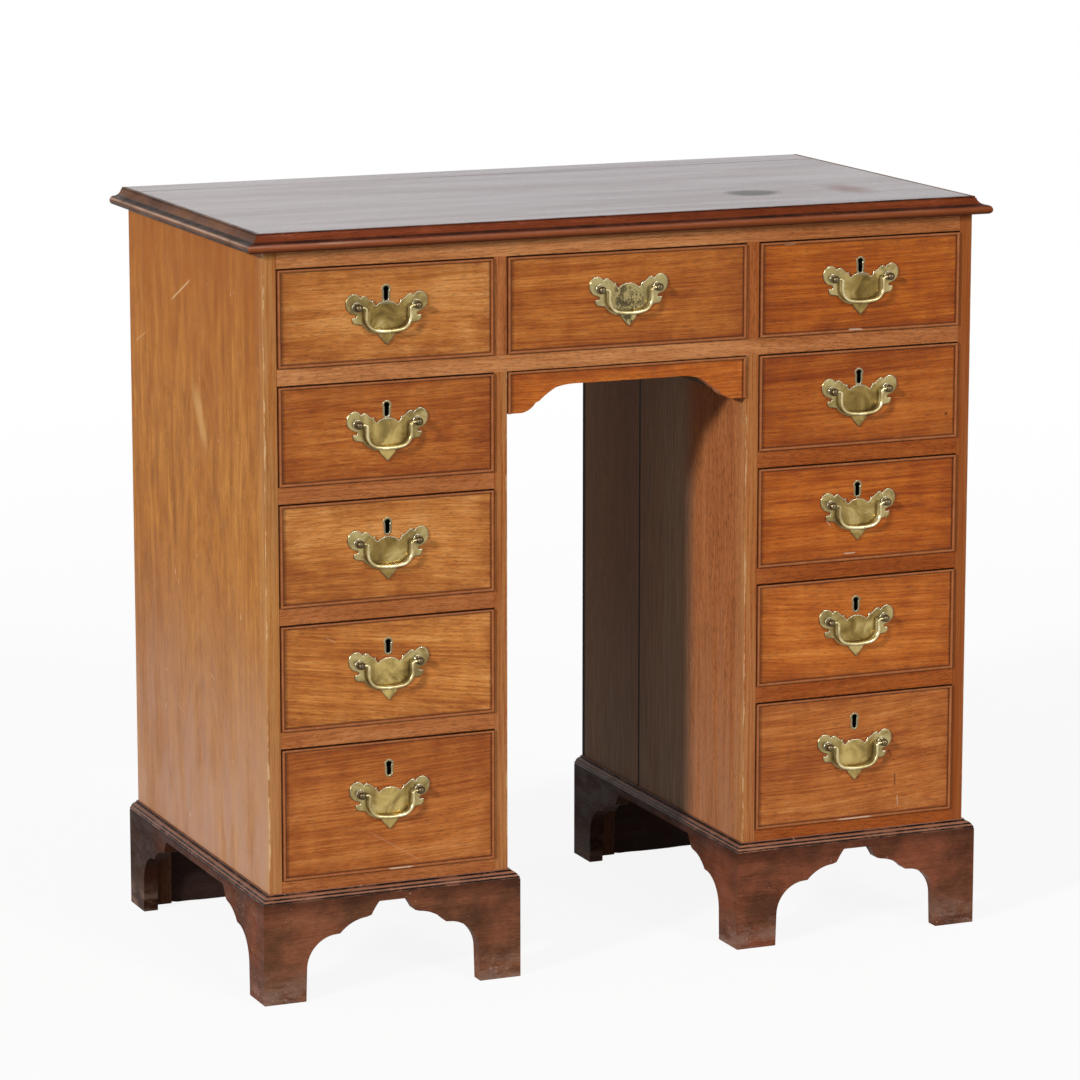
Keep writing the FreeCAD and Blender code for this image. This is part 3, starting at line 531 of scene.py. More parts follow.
def side_finish(node, seed, outside, scratches, front_share, front_tone, wear):
    """Faded board with a flame, fine scratches, a few specks, a worn front corner and a painted reflection
    of the floor low down.
    """
    coat = Coat(node + "_mahogany", 0.42, 0.03)
    shares = (1.0, 0.85, 1.1, 0.3)
    coat.colour, height, fibre = wood_grain(
        coat, "z", side_stops, seed, side_lean, shares=shares, pores=0.35)
    x, y, z = coat.axis()
    mottle = coat.clouds((10, 60, 15), 4.0, 0.6, seed)
    spread = coat.tones(coat.band(mottle, 0.30, 0.70), side_mottle)
    coat.lay(coat.band(z, 0.25, 0.60, 0.45, 1.0), coat.mix(1.0, coat.colour, spread, "MULTIPLY"))
    over = coat.minus(y, flame_place[0])
    up = coat.minus(z, flame_place[1])
    bow = coat.plus(coat.times(coat.times(over, over), 26.0), up)
    arch = coat.put("ShaderNodeCombineXYZ", {0: coat.times(bow, 22.0), 1: seed}).outputs[0]
    near = coat.band(coat.away(over), 0.03, 0.13, 0.30, 0.0)
    coat.lay(coat.times(coat.band(coat.noise(arch, 1.0, 3.0), 0.42, 0.62), near), ring_colour)
    lean = coat.away(coat.plus(over, coat.times(up, -0.55)))
    ragged = coat.times(coat.minus(fibre, 0.5), 0.03)
    core = coat.band(coat.plus(lean, ragged), 0.003, 0.017, 1.0, 0.0)
    flame = coat.times(core, coat.band(coat.away(up), 0.010, 0.044, 1.0, 0.0))
    coat.lay(coat.times(flame, 0.6), flame_colour)
    side_clouds = coat.clouds((6, 26, 8), 4.0, 0.6)
    # Painted reflection of the white floor: paler and greyer towards the bottom, less on the front edge.
    floor_reflection = coat.times(coat.band(z, 0.10, 0.46, 1.0, 0.0), coat.band(side_clouds, 0.3, 0.6, 0.45, 1.0))
    floor_reflection = coat.times(floor_reflection, coat.band(y, case_front + skin, case_front + 3 * skin, 0.1, 0.7))
    coat.lay(floor_reflection, floor_reflection_colour)
    rich = coat.times(coat.band(z, 0.50, 0.76), coat.band(side_clouds, 0.3, 0.7, 0.75, 0.35))
    coat.lay(rich, rich_colour)
    for start, end, width, strength in scratches:
        start = (case_front + start[0], start[1])
        end = (case_front + end[0], end[1])
        coat.lay(coat.times(line_mask(coat, y, z, start, end, width), strength), scratch_colour)
    specks = coat.clouds((1, 210, 120), 0.0)
    coat.lay(coat.band(specks, 0.875, 0.90, 0.0, 0.6), speck_colour)
    front = coat.plus(coat.band(z, 0.12, 0.36, 0.3, 0.0), front_share)
    coat.lay(coat.times(coat.below(y, case_front + skin), front), front_tone)
    worn_arris(coat, x, y, outside, side_worn, wear)
    on_rear = coat.above(y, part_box(node)[1].y - 2 * skin)
    coat.lay(coat.times(on_rear, 0.85), side_rear)
    return coat.done(coat.band(fibre, 0.3, 0.7, 0.36, 0.50), height, 0.00008)


left_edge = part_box("left_outer_side")[0].x
right_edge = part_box("right_outer_side")[1].x
for side_name, side_seed, side_edge, side_marks, side_share, side_tone, side_wear in (
    ("left_outer_side", 5, left_edge, side_scratches, 0.4, (0.350, 0.125, 0.048), 1.0),
    ("right_outer_side", 6, right_edge, side_scratches[:2], 0.9, (0.262, 0.060, 0.013), 0.3),
):
    side_wood = side_finish(side_name, side_seed, side_edge, side_marks, side_share, side_tone, side_wear)
    dress(side_name, side_wood, arris)

# Inner sides: two upright boards each, joined edge to edge, facing the kneehole.
# Less faded than the outside, open grained, paler low down, painted grey and darker towards the back as
# painted shade, and worn pale in front.
knee_stops = (
    (0.0, (0.205, 0.060, 0.018)),
    (0.45, (0.352, 0.113, 0.034)),
    (1.0, (0.502, 0.193, 0.070)),
)
knee_streaks = ((0.0, (0.75, 0.72, 0.68)), (1.0, (1.24, 1.28, 1.34)))
knee_low_pale = (0.400, 0.200, 0.110)
knee_shade_front = (0.366, 0.255, 0.164)
knee_shade_rear = (0.213, 0.119, 0.072)
knee_shade_low = (0.300, 0.225, 0.165)
knee_front = (0.310, 0.070, 0.010)
knee_worn = (0.600, 0.320, 0.115)
chip_colour = (0.60, 0.45, 0.33)
open_joint = (0.003, 0.002, 0.001)
knee_corner_shade = (0.004, 0.003, 0.002)
inner_joint = case_front + 0.265
inner_arris = 0.0003


def knee_finish(node, seed, edge):
    """Upright grain, painted grey towards the back as painted shade, with the joint of two boards and a worn
    front corner.
    """
    coat = Coat(node + "_mahogany", 0.55, 0.02)
    shares = (0.7, 0.7, 1.2, 0.15)
    coat.colour, height, fibre = wood_grain(coat, "z", knee_stops, seed, shares=shares, pores=0.6)
    x, y, z = coat.axis()
    blotches = coat.clouds((12, 90, 4), 4.0)
    # Paler towards the bottom, in clouds.
    low_pale = coat.times(coat.band(z, 0.10, 0.46, 0.55, 0.0), coat.band(blotches, 0.35, 0.6))
    coat.lay(low_pale, knee_low_pale)
    # Painted shade: from where the kneehole's cast shadow begins, the wood is painted grey, darker towards
    # the back and paler low down, broken up by clouds.
    behind = coat.band(y, case_front + 0.115, case_front + 0.165, 0.0, 0.92)
    depth = coat.band(y, case_front + 0.15, inner_joint + 0.05)
    shade_tint = coat.mix(depth, knee_shade_front, knee_shade_rear)
    shade_tint = coat.mix(coat.band(z, 0.10, 0.40, 0.6, 0.0), shade_tint, knee_shade_low)
    shade_tint = coat.mix(1.0, shade_tint, coat.tones(coat.band(fibre, 0.3, 0.7), knee_streaks), "MULTIPLY")
    coat.lay(coat.times(behind, coat.band(blotches, 0.3, 0.65, 0.85, 1.0)), shade_tint)
    coat.lay(coat.line(y, inner_joint, 0.0012, 0.0024, 1.0), open_joint)
    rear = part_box(node)[1].y
    # Painted shade: the last half centimetre of the board, in the back corner of the kneehole, is painted
    # nearly black.
    coat.lay(coat.band(y, rear - 0.010, rear - 0.005, 0.0, 0.95), knee_corner_shade)
    chip = line_mask(coat, y, z, (case_front + 0.152, 0.628), (case_front + 0.164, 0.632), 0.004)
    coat.lay(coat.times(chip, 0.6), chip_colour)
    coat.lay(coat.times(coat.below(y, case_front + skin), 0.5), knee_front)
    worn_arris(coat, x, y, edge, knee_worn, 0.75)
    return coat.done(coat.band(fibre, 0.3, 0.7, 0.48, 0.64), height, 0.00006)


dress("left_inner_side", knee_finish("left_inner_side", 7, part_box("left_inner_side")[1].x), inner_arris)
dress("right_inner_side", knee_finish("right_inner_side", 8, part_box("right_inner_side")[0].x), inner_arris)

# Dividers and rails: straight-grained mahogany, the rails stub tenoned into the sides.
# Waxed and rubbed at the front, plain behind.
rail_stops = (
    (0.0, (0.285, 0.090, 0.023)),
    (0.4, (0.475, 0.180, 0.058)),
    (0.7, (0.590, 0.256, 0.096)),
    (1.0, (0.705, 0.358, 0.165)),
)
rail_red = (0.60, 0.33, 0.13)
rail_wear = (0.150, 0.046, 0.014)
rail_arris = 0.0004


def rail_finish(name, grain, seed, redness):
    """Straight-grained waxed wood with a few knocks, redder in the pedestals and to the right."""
    coat = Coat(name, 0.40, 0.10)
    shares = (0.45, 0.7, 1.1, 0.2)
    coat.colour, height, fibre = wood_grain(coat, grain, rail_stops, seed, shares=shares)
    x, _, z = coat.axis()
    red = coat.plus(coat.band(z, 0.60, 0.63, 0.55, redness), coat.band(x, 0.06, 0.20, 0.0, 0.40))
    coat.lay(1.0, coat.mix(red, as_it_is, rail_red), "MULTIPLY")
    wear = coat.noise(coat.place, 42.0, 5.0, 0.65)
    coat.lay(coat.band(wear, 0.55, 0.80, 0.0, 0.25), rail_wear)
    return coat.done(coat.band(fibre, 0.3, 0.7, 0.34, 0.50), height, 0.0002)


dress("upper_dividers", rail_finish("divider_mahogany", "z", 9, 0.5), arris)
dress("drawer_rails", rail_finish("rail_mahogany", "x", 10, 0.0), rail_arris)

# Dust boards, kickers, stops, runners and backs: sawn oak, nailed or housed, never polished.
# The backs have gone dark and dusty against the wall.
oak_stops = ((0.0, (0.180, 0.105, 0.048)), (0.5, (0.300, 0.195, 0.098)), (1.0, (0.420, 0.300, 0.170)))
old_oak_stops = (
    (0.0, (0.075, 0.042, 0.020)),
    (0.5, (0.150, 0.092, 0.048)),
    (1.0, (0.240, 0.160, 0.092)),
)
back_inner_tone = (1.10, 1.10, 1.10)
back_outer_tone = (0.84, 0.82, 0.80)
back_joint = (0.008, 0.005, 0.004)
dress("dust_boards", lining_finish("dust_board_oak", "x", oak_stops, 11, 0.8), arris)
dress("kickers_and_stops", lining_finish("kicker_oak", "y", oak_stops, 12, 0.8), arris)
dress("apron_runners", lining_finish("runner_oak", "y", old_oak_stops, 13, 0.8), arris)


def back_finish():
    """Boards with dark open joints: two upright behind each pedestal and one across the frieze."""
    coat = Coat("back_board_oak", 0.85, 0.15)
    frieze_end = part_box("right_inner_side")[1].x
    middle = (frieze_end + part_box("right_outer_side")[0].x) / 2
    upright, height, _ = wood_grain(coat, "z", old_oak_stops, 14, pores=0.5)
    level, _, _ = wood_grain(coat, "x", old_oak_stops, 17, pores=0.5)
    off = coat.away(coat.axis()[0])
    coat.colour = coat.mix(coat.below(off, frieze_end), upright, level)
    coat.lay(1.0, coat.mix(coat.above(off, middle), back_inner_tone, back_outer_tone), "MULTIPLY")
    for joint in (frieze_end, middle):
        coat.lay(coat.line(off, joint, 0.0005, 0.0014, 0.95), back_joint)
    lay_dust(coat)
    return coat.done(None, height, 0.0004)


dress("back_boards", back_finish(), arris)

# Drawers: mahogany fronts 20 mm thick with a dark cock bead let into their edges, lapped on oak linings.
# Wax has darkened the corner inside the bead, grime and painted shade line the bead, and each front has its
# own figure, lean and tone.
drawer_figures = {
    "left_drawer_1": (21, 0.02, (1.15, 1.26, 1.60)),
    "left_drawer_2": (22, 0.04, (1.03, 0.96, 1.04)),
    "left_drawer_3": (23, -0.05, (1.28, 1.48, 2.00)),
    "left_drawer_4": (24, -0.12, (1.37, 1.60, 2.15)),
    "left_drawer_5": (25, 0.05, (1.12, 1.11, 1.42)),
    "right_drawer_1": (26, 0.01, (1.16, 1.00, 0.68)),
    "right_drawer_2": (27, 0.02, (0.89, 0.68, 0.50)),
    "right_drawer_3": (28, -0.01, (1.06, 0.83, 0.58)),
    "right_drawer_4": (29, -0.05, (1.13, 0.95, 0.80)),
    "right_drawer_5": (30, 0.03, (1.09, 1.06, 1.38)),
    "centre_drawer": (31, 0.01, (1.13, 1.12, 1.20)),
    "apron_drawer": (32, 0.00, (1.22, 1.02, 0.80)),
}
front_stops = (
    (0.0, (0.190, 0.040, 0.006)),
    (0.32, (0.305, 0.080, 0.011)),
    (0.62, (0.430, 0.138, 0.022)),
    (1.0, (0.570, 0.230, 0.052)),
)
bead_stops = ((0.0, (0.160, 0.042, 0.011)), (0.5, (0.305, 0.092, 0.024)), (1.0, (0.465, 0.170, 0.054)))
corner_wax = (0.175, 0.033, 0.007)
bead_grime_and_shade = (0.060, 0.017, 0.008)
bead_crest_highlight = (0.400, 0.150, 0.060)
bead_gap_shade = (0.008, 0.003, 0.002)
dark_mark = (0.095, 0.025, 0.008)
pale_dot = (0.60, 0.36, 0.22)
keyhole_shade = (0.004, 0.003, 0.002)
bare_wood = (0.640, 0.460, 0.330)
bruise = (0.060, 0.018, 0.008)
front_marks = {
    "left_drawer_4": (((-0.330, 0.372), (-0.318, 0.365), 0.0014, bare_wood, 0.35),),
    "left_drawer_5": (
        ((-0.289, 0.170), (-0.229, 0.132), 0.0016, bare_wood, 0.16),
        ((-0.266, 0.127), (-0.236, 0.127), 0.0020, bare_wood, 0.8),
    ),
    "right_drawer_1": (
        ((0.248, 0.6486), (0.266, 0.6486), 0.0018, bare_wood, 0.8),
        ((0.174, 0.741), (0.188, 0.741), 0.0020, bare_wood, 0.7),
    ),
    "right_drawer_2": (((0.363, 0.553), (0.367, 0.553), 0.0040, bruise, 0.8),),
    "right_drawer_3": (
        ((0.246, 0.4125), (0.262, 0.4125), 0.0018, bare_wood, 0.8),
        ((0.232, 0.442), (0.226, 0.450), 0.0014, bare_wood, 0.5),
    ),
    "right_drawer_5": (
        ((0.240, 0.127), (0.286, 0.127), 0.0020, bare_wood, 0.8),
        ((0.311, 0.172), (0.311, 0.156), 0.0024, bruise, 0.7),
        ((0.314, 0.148), (0.315, 0.134), 0.0016, bare_wood, 0.5),
        ((0.303, 0.198), (0.307, 0.189), 0.0040, bruise, 0.5),
    ),
}
bead_width = 0.003
bead_let_in = 0.0075
front_thickness = 0.020
front_lap = 0.009
lining = 0.008
side_drop = 0.004
tail_root_share = 0.62
tail_slope_share = 0.16
key_drop = 0.029
key_half_width = 0.006
key_half_height = 0.0105
key_levels = {
    name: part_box(name)[1].z - key_drop for name in drawer_figures if name.startswith(("left", "right"))
}


def tail_mask(coat, y, z, low, high, count):
    """Mask of the dovetails on a drawer's side: tapered tongues that widen towards the front."""
    pitch = (high - low) / count
    nearest = coat.math("MODULO", coat.minus(z, low), pitch)
    ahead = coat.minus(case_front + front_thickness, y)
    half = coat.plus(coat.times(ahead, tail_slope_share), pitch * tail_root_share / 2)
    inside = coat.below(coat.away(nearest, pitch / 2), half)
    reach = coat.above(y, case_front + front_lap)
    return coat.times(coat.times(inside, reach), coat.below(z, high))


def drawer_finish(name):
    """Figured front inside a dark bead, with oak linings dovetailed behind it."""
    seed, lean, tone = drawer_figures[name]
    is_apron = name == "apron_drawer"
    low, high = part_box(name)
    coat = Coat(name + "_wood", 0.36, 0.14)
    stops = [(place, tuple(np.multiply(colour, tone))) for place, colour in front_stops]
    shares = (1.15, 0.6 if name.startswith("left") else 0.85, 1.15, 0.4)
    coat.colour, height, _ = wood_grain(
        coat, "x", stops, seed, (0, lean, 0), shares=shares, pores=0.35)
    x, y, z = coat.axis()
    in_x = coat.least(coat.minus(x, low.x), coat.minus(high.x, x))
    below_top = coat.minus(high.z, z)
    beside = in_x
    if not is_apron:
        beside = coat.least(in_x, coat.minus(z, low.z))
    shaded = coat.least(beside, coat.plus(below_top, 0.0014))
    on_face = coat.below(y, case_front + 0.001)
    cloud = coat.noise(coat.place, 45.0, 4.0, 0.6)
    corner = coat.band(shaded, bead_width, bead_width + 0.026, 0.42, 0.0)
    corner = coat.times(corner, coat.band(cloud, 0.35, 0.65, 0.2, 1.0))
    coat.lay(coat.times(corner, on_face), corner_wax)
    # Grime and painted shade in a thin line just inside the bead, weaker along the top.
    inner_grime_and_shade = coat.band(shaded, bead_width + 0.0002, bead_width + 0.0024, 0.75, 0.0)
    coat.lay(coat.times(inner_grime_and_shade, on_face), bead_grime_and_shade)
    marks = coat.clouds((30, 70, 130), 5.0, 0.7)
    coat.lay(coat.band(marks, 0.62, 0.78, 0.0, 0.28), dark_mark)
    dots = coat.clouds((170, 1, 170), 0.0)
    coat.lay(coat.band(dots, 0.89, 0.91, 0.0, 0.5), pale_dot)
    on_rim = coat.below(coat.least(beside, below_top), bead_width + 0.00005)
    on_bead = coat.times(on_rim, coat.below(y, case_front + bead_let_in - 0.0001))
    bead_tone = coat.tones(coat.noise(coat.place, 95.0, 4.0), bead_stops)
    # Painted shade at the root of the bead and on its outer faces.
    root_shade = coat.times(coat.band(y, case_front - 0.0020, case_front - 0.0004, 0.0, 0.65), on_face)
    bead_tone = coat.mix(root_shade, bead_tone, bead_grime_and_shade)
    # Painted highlight along the crest of the bead.
    bead_tone = coat.mix(coat.band(y, low.y, low.y + 0.0007, 0.26, 0.0), bead_tone, bead_crest_highlight)
    bead_tone = coat.mix(coat.band(beside, 0.0002, 0.0007, 0.5, 0.0), bead_tone, bead_grime_and_shade)
    # Painted shadow: the top of the bead, deep in the gap above the drawer, is painted nearly black.
    gap = coat.times(coat.band(below_top, 0.0002, 0.0007, 0.96, 0.0), on_face)
    coat.lay(on_bead, coat.mix(gap, bead_tone, bead_gap_shade))
    for start, end, width, mark_tone, strength in front_marks.get(name, ()):
        mark = coat.times(line_mask(coat, x, z, start, end, width), on_face)
        coat.lay(coat.times(mark, strength), mark_tone)
    if name in key_levels:
        over = coat.below(coat.away(x, (low.x + high.x) / 2), key_half_width)
        slot = coat.times(over, coat.below(coat.away(z, key_levels[name]), key_half_height))
        # Painted shade: the wood inside the keyhole is painted nearly black.
        coat.lay(coat.times(slot, coat.above(y, case_front + 0.0006)), keyhole_shade)
    tails = tail_mask(coat, y, z, low.z, high.z - side_drop, 1 if is_apron else 3)
    behind = coat.above(y, case_front + front_thickness - 0.0001)
    oak = coat.most(behind, coat.times(tails, coat.below(in_x, lining)))
    coat.lay(oak, coat.tones(coat.clouds((420, 16, 260), 4.0, seed=seed), oak_stops))
    polish = coat.band(cloud, 0.3, 0.7, 0.30, 0.44)
    return coat.done(coat.plus(polish, coat.times(oak, 0.38)), height, 0.0001)


for drawer_name in drawer_figures:
    dress(drawer_name, drawer_finish(drawer_name), 0)

# Pulls: cast brass batwing plates, turned posts with ball heads, nuts, thread escutcheons, iron locks.
# The brass is olive with age, dark on the posts, worn bright with a painted highlight on its filed edges,
# and some is golden.
pull_names = [name for name in drawer_figures if name != "apron_drawer"]
brass_stops = (
    (0.0, (0.105, 0.067, 0.020)),
    (0.35, (0.225, 0.148, 0.043)),
    (0.7, (0.320, 0.222, 0.070)),
    (1.0, (0.500, 0.380, 0.150)),
)
golden_pulls = ("left_drawer_2", "left_drawer_4", "left_drawer_5", "right_drawer_5")
lobe_brass = (0.520, 0.440, 0.205)
golden_brass = (0.640, 0.480, 0.170)
centre_brass = (0.480, 0.400, 0.190)
pitted_brass = (0.060, 0.047, 0.024)
polish_and_shade_line = (0.100, 0.075, 0.030)
rim_wear_and_highlight = (0.86, 0.80, 0.58)
thread_brass = (0.240, 0.205, 0.125)
post_brass = (0.075, 0.056, 0.036)
lock_case = (0.035, 0.031, 0.028)
plate_front = case_front - 0.002
filed_edge = 0.0016


def brass_base(coat, seed, stops):
    """Lay the cloudy patina of old brass and the uneven wear of its lacquer; gives the clouds."""
    coat.surface.inputs["Metallic"].default_value = 1.0
    shift = (seed * 0.31, seed * 0.17, seed * 0.23)
    cloud = coat.noise(coat.stretch((42, 42, 42), shift), 1.0, 4.0, 0.6, 0.8)
    coat.join(coat.band(cloud, 0.3, 0.7, 0.38, 0.26), "Roughness")
    coat.colour = coat.tones(coat.band(cloud, 0.26, 0.74), stops)
    return cloud


def pull_finish(name, seed):
    """Plate, posts and thread in brass, with the lock behind the front in iron.

    Where the rounded normal of an edge leaves the face, the metal is worn bright and carries a painted
    highlight, most along the upper edges, with a dark line of old polish and painted shade inside it.
    """
    coat = Coat(name + "_brass", 0.28)
    cloud = brass_base(coat, seed, brass_stops)
    x, y, z = coat.axis()
    low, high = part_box(name + "_pull")
    aside = coat.away(x, (low.x + high.x) / 2)
    lobe = coat.times(coat.band(aside, 0.016, 0.026), coat.band(cloud, 0.4, 0.6, 0.15, 0.55))
    coat.lay(lobe, lobe_brass)
    if name in golden_pulls:
        middle = coat.band(aside, 0.012, 0.018, 1.0, 0.0)
        coat.lay(coat.times(middle, coat.band(cloud, 0.35, 0.6, 0.2, 0.6)), golden_brass)
    if name == "centre_drawer":
        coat.lay(0.5, centre_brass)
        middle = coat.band(aside, 0.012, 0.020, 1.0, 0.1)
        pits = coat.clouds((260, 260, 200), 4.0, 0.7)
        coat.lay(coat.times(coat.band(pits, 0.45, 0.56, 0.0, 0.9), middle), pitted_brass)
    rounded = coat.put("ShaderNodeBevel", {"Radius": filed_edge}, samples=6).outputs[0]
    own = coat.put("ShaderNodeNewGeometry").outputs["Normal"]
    alike = coat.put("ShaderNodeVectorMath", {0: rounded, 1: own}, operation="DOT_PRODUCT")
    level = alike.outputs["Value"]
    on_plate = coat.above(y, plate_front - 0.0002)
    # Dark line of old polish and painted shade just inside each edge.
    coat.lay(coat.times(coat.band(level, 0.990, 0.9995, 0.7, 0.0), on_plate), polish_and_shade_line)
    # Edges worn bright with a painted highlight, strongest along the upper edges.
    edge_up = coat.band(coat.axis(rounded)[2], -0.25, 0.25, 0.25, 1.0)
    rim = coat.times(coat.band(level, 0.86, 0.985, 1.0, 0.0), edge_up)
    coat.lay(coat.times(rim, on_plate), rim_wear_and_highlight)
    if name in key_levels:
        thread = coat.above(z, key_levels[name] - key_half_height)
        thread = coat.times(thread, coat.below(aside, 0.007))
        coat.lay(coat.times(thread, 0.6), thread_brass)
    coat.lay(coat.times(coat.minus(1.0, on_plate), 0.85), post_brass)
    coat.lay(coat.above(y, case_front + 0.004), lock_case)
    return coat.done(None, cloud, 0.0004, rounded)


for pull_seed, drawer_name in enumerate(pull_names, 1):
    dress(drawer_name + "_pull", pull_finish(drawer_name, pull_seed), 0)

# Bails: cast brass handles that hang in the ball heads of the posts on two thin pins.
# Each is a tapered rod, thin at the pins and thickest in the middle, with a soft ridge along it.
bail_arm = 0.0235
bail_pin_end = 0.03075
bail_bend = 0.0026
bail_drop = 0.0246
bail_half_bottom = 0.013
bail_sag = 0.0012
bail_pin_radius = 0.0013
bail_arm_radius = 0.0017
bail_bottom_radius = 0.0021
bail_flat_share = 0.92
bail_ridge_share = 0.06
bail_stops = ((0.0, (0.300, 0.225, 0.095)), (0.5, (0.520, 0.430, 0.215)), (1.0, (0.760, 0.670, 0.400)))
bail_underside_shade = (0.120, 0.085, 0.035)


def bail_surface(stations=41, around=16):
    """Grid of points on a bail that hangs from the origin.

    The path runs along a pin, round a bend, down an arm, round a corner and along a flat bow, and is
    mirrored. At each station an oval section, a circle drawn to a soft ridge, is set across the path.
    """
    bow_radius = (bail_half_bottom ** 2 + bail_sag ** 2) / (2 * bail_sag)
    lean = math.asin(bail_half_bottom / bow_radius)
    corner = (bail_arm - bail_half_bottom) / (1 - math.sin(lean))
    corner_level = bail_sag - bail_drop + corner * math.cos(lean)
    corner_x = bail_arm - corner
    step = np.linspace(0, 1, stations)
    pin = np.stack([bail_pin_end + (bail_arm + bail_bend - bail_pin_end) * step, 0 * step], 1)
    turn = step * math.pi / 2
    bend = np.stack([bail_arm + bail_bend * (1 - np.sin(turn)), bail_bend * (np.cos(turn) - 1)], 1)
    arm = np.stack([bail_arm + 0 * step, -bail_bend + (corner_level + bail_bend) * step], 1)
    turn = step * (math.pi / 2 - lean)
    round_off = np.stack([corner_x + corner * np.cos(turn), corner_level - corner * np.sin(turn)], 1)
    turn = lean * (1 - step)
    bow = np.stack([bow_radius * np.sin(turn), bow_radius * (1 - np.cos(turn)) - bail_drop], 1)
    half = np.concatenate([pin[::10], bend[4::4], arm[8::8], round_off[3::3], bow[4::4]])
    path = np.concatenate([half, half[-2::-1] * (-1, 1)])
    ahead = np.gradient(path, axis=0)
    ahead /= np.linalg.norm(ahead, axis=1)[:, None]
    way = np.concatenate([[0], np.cumsum(np.linalg.norm(np.diff(path, axis=0), axis=1))])
    share = 1 - np.abs(way / way[-1] * 2 - 1)
    knots = (0, 0.13, 0.17, 0.5, 0.86, 1)
    sizes = np.repeat([bail_pin_radius, bail_arm_radius, bail_bottom_radius], 2)
    radius = np.interp(share, knots, sizes)[:, None]
    angle = np.linspace(0, 2 * math.pi, around, endpoint=False)[None, :]
    ridge = radius * (1 + bail_ridge_share * np.maximum(-np.sin(angle), 0) ** 4)
    side = ridge * np.cos(angle)
    x = path[:, :1] + side * -ahead[:, 1:]
    y = ridge * np.sin(angle) * bail_flat_share
    z = path[:, 1:] + side * ahead[:, :1]
    return np.stack([x, y, z], 2)


def bail_finish(name, seed):
    """Brass, bright above, with painted shade underneath."""
    coat = Coat(name + "_brass", 0.3)
    brass_base(coat, seed, bail_stops)
    up = coat.axis(coat.put("ShaderNodeTexCoord").outputs["Normal"])[2]
    # Painted shade: the underside of the rod is darkened by its normal.
    coat.lay(coat.band(up, -0.95, -0.25, 0.8, 0.0), bail_underside_shade)
    coat.join(coat.colour, "Base Color")
    return coat.material


hinges = {joint["child"]: joint["pos_m"] for joint in frame["joints"] if joint["type"] == "hinge"}
for bail_seed, drawer_name in enumerate(pull_names, 1):
    bail_name = drawer_name + "_bail"
    bail_mesh = grid_mesh(drawer_name + "_handle", bail_surface() + np.array(hinges[bail_name]))
    bail_mesh.materials.append(bail_finish(bail_name, bail_seed + 0.5))
    handle = bpy.data.objects.new(drawer_name + "_handle", bail_mesh)
    bpy.context.scene.collection.objects.link(handle)
    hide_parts(bail_name)
    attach(handle, bail_name)

# Lock bolts: square iron bars that rise out of the top edge of the drawer.
# Filed bright once, now brown and grey.
iron_stops = ((0.3, (0.05, 0.045, 0.04)), (0.7, (0.16, 0.15, 0.14)))
iron = Coat("lock_iron", 0.55)
iron.surface.inputs["Metallic"].default_value = 1.0
rust = iron.noise(iron.place, 300.0)
iron.colour = iron.tones(rust, iron_stops)
iron_bar = iron.done(None, rust, 0.0003)
for drawer_name in key_levels:
    dress(drawer_name + "_bolt", iron_bar, 0)

# Top: two boards glued edge to edge, with the joint near the back, under a hard old polish.
# Dark purple brown, with a stain and a rubbed patch to the right and the sheen of the room on it.
top_stops = ((0.0, (0.060, 0.026, 0.033)), (0.5, (0.109, 0.052, 0.063)), (1.0, (0.174, 0.092, 0.104)))
top_faded = (0.240, 0.160, 0.164)
top_stain = (0.012, 0.006, 0.005)
top_rubbed = (0.170, 0.062, 0.042)
top_gap = (0.008, 0.004, 0.003)
top_edge = (0.085, 0.036, 0.018)
top_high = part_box("top_boards")[1]
top_joint = top_high.y - 0.048
stain_place = (0.194, case_front + 0.117)
rubbed_place = (0.303, case_front + 0.112)


def round_mask(coat, x, y, place, long_way, short_way, edge):
    """Soft mask of an oval patch with a ragged rim."""
    over = coat.math("DIVIDE", coat.minus(x, place[0]), long_way)
    up = coat.math("DIVIDE", coat.minus(y, place[1]), short_way)
    rim = coat.times(coat.noise(coat.place, 60.0, 3.0), 0.5)
    return coat.band(coat.plus(coat.span(over, up), rim), 1.25 - edge, 1.25, 1.0, 0.0)


def top_finish():
    """Dark polished boards with dull and bright streaks, a stain and a rubbed patch, and dull edges."""
    coat = Coat("top_mahogany", 0.18)
    shares = (0.9, 0.5, 0.4, 0.2)
    coat.colour, height, fibre = wood_grain(coat, "x", top_stops, 15, shares=shares, pores=0.25)
    x, y, z = coat.axis()
    faded = coat.times(coat.band(x, -0.36, 0.10, 0.75, 0.0), coat.band(fibre, 0.3, 0.6, 0.6, 1.0))
    coat.lay(faded, top_faded)
    stain = round_mask(coat, x, y, stain_place, 0.036, 0.030, 0.5)
    rubbed = round_mask(coat, x, y, rubbed_place, 0.030, 0.060, 0.9)
    coat.lay(coat.times(stain, 0.9), top_stain)
    coat.lay(coat.times(rubbed, 0.7), top_rubbed)
    gap = coat.line(y, top_joint, 0.0006, 0.0020, 0.95)
    breaks = coat.band(coat.clouds((7, 1, 1), 2.0), 0.35, 0.55, 0.35, 1.0)
    worn_gap = coat.times(gap, breaks)
    coat.lay(worn_gap, top_gap)
    off_top = coat.band(z, top_high.z - 0.0012, top_high.z - 0.0005, 1.0, 0.0)
    coat.lay(off_top, top_edge)
    streaks = coat.clouds((3.5, 28, 1), 4.0, 0.6)
    dull = coat.band(streaks, 0.3, 0.7, 0.19, 0.26)
    for patch, share in ((stain, 0.18), (rubbed, 0.14), (worn_gap, 0.3), (off_top, 0.8)):
        dull = coat.plus(dull, coat.times(patch, share))
    return coat.done(dull, coat.minus(height, coat.times(worn_gap, 4.0)), 0.00003)


dress("top_boards", top_finish(), rail_arris)

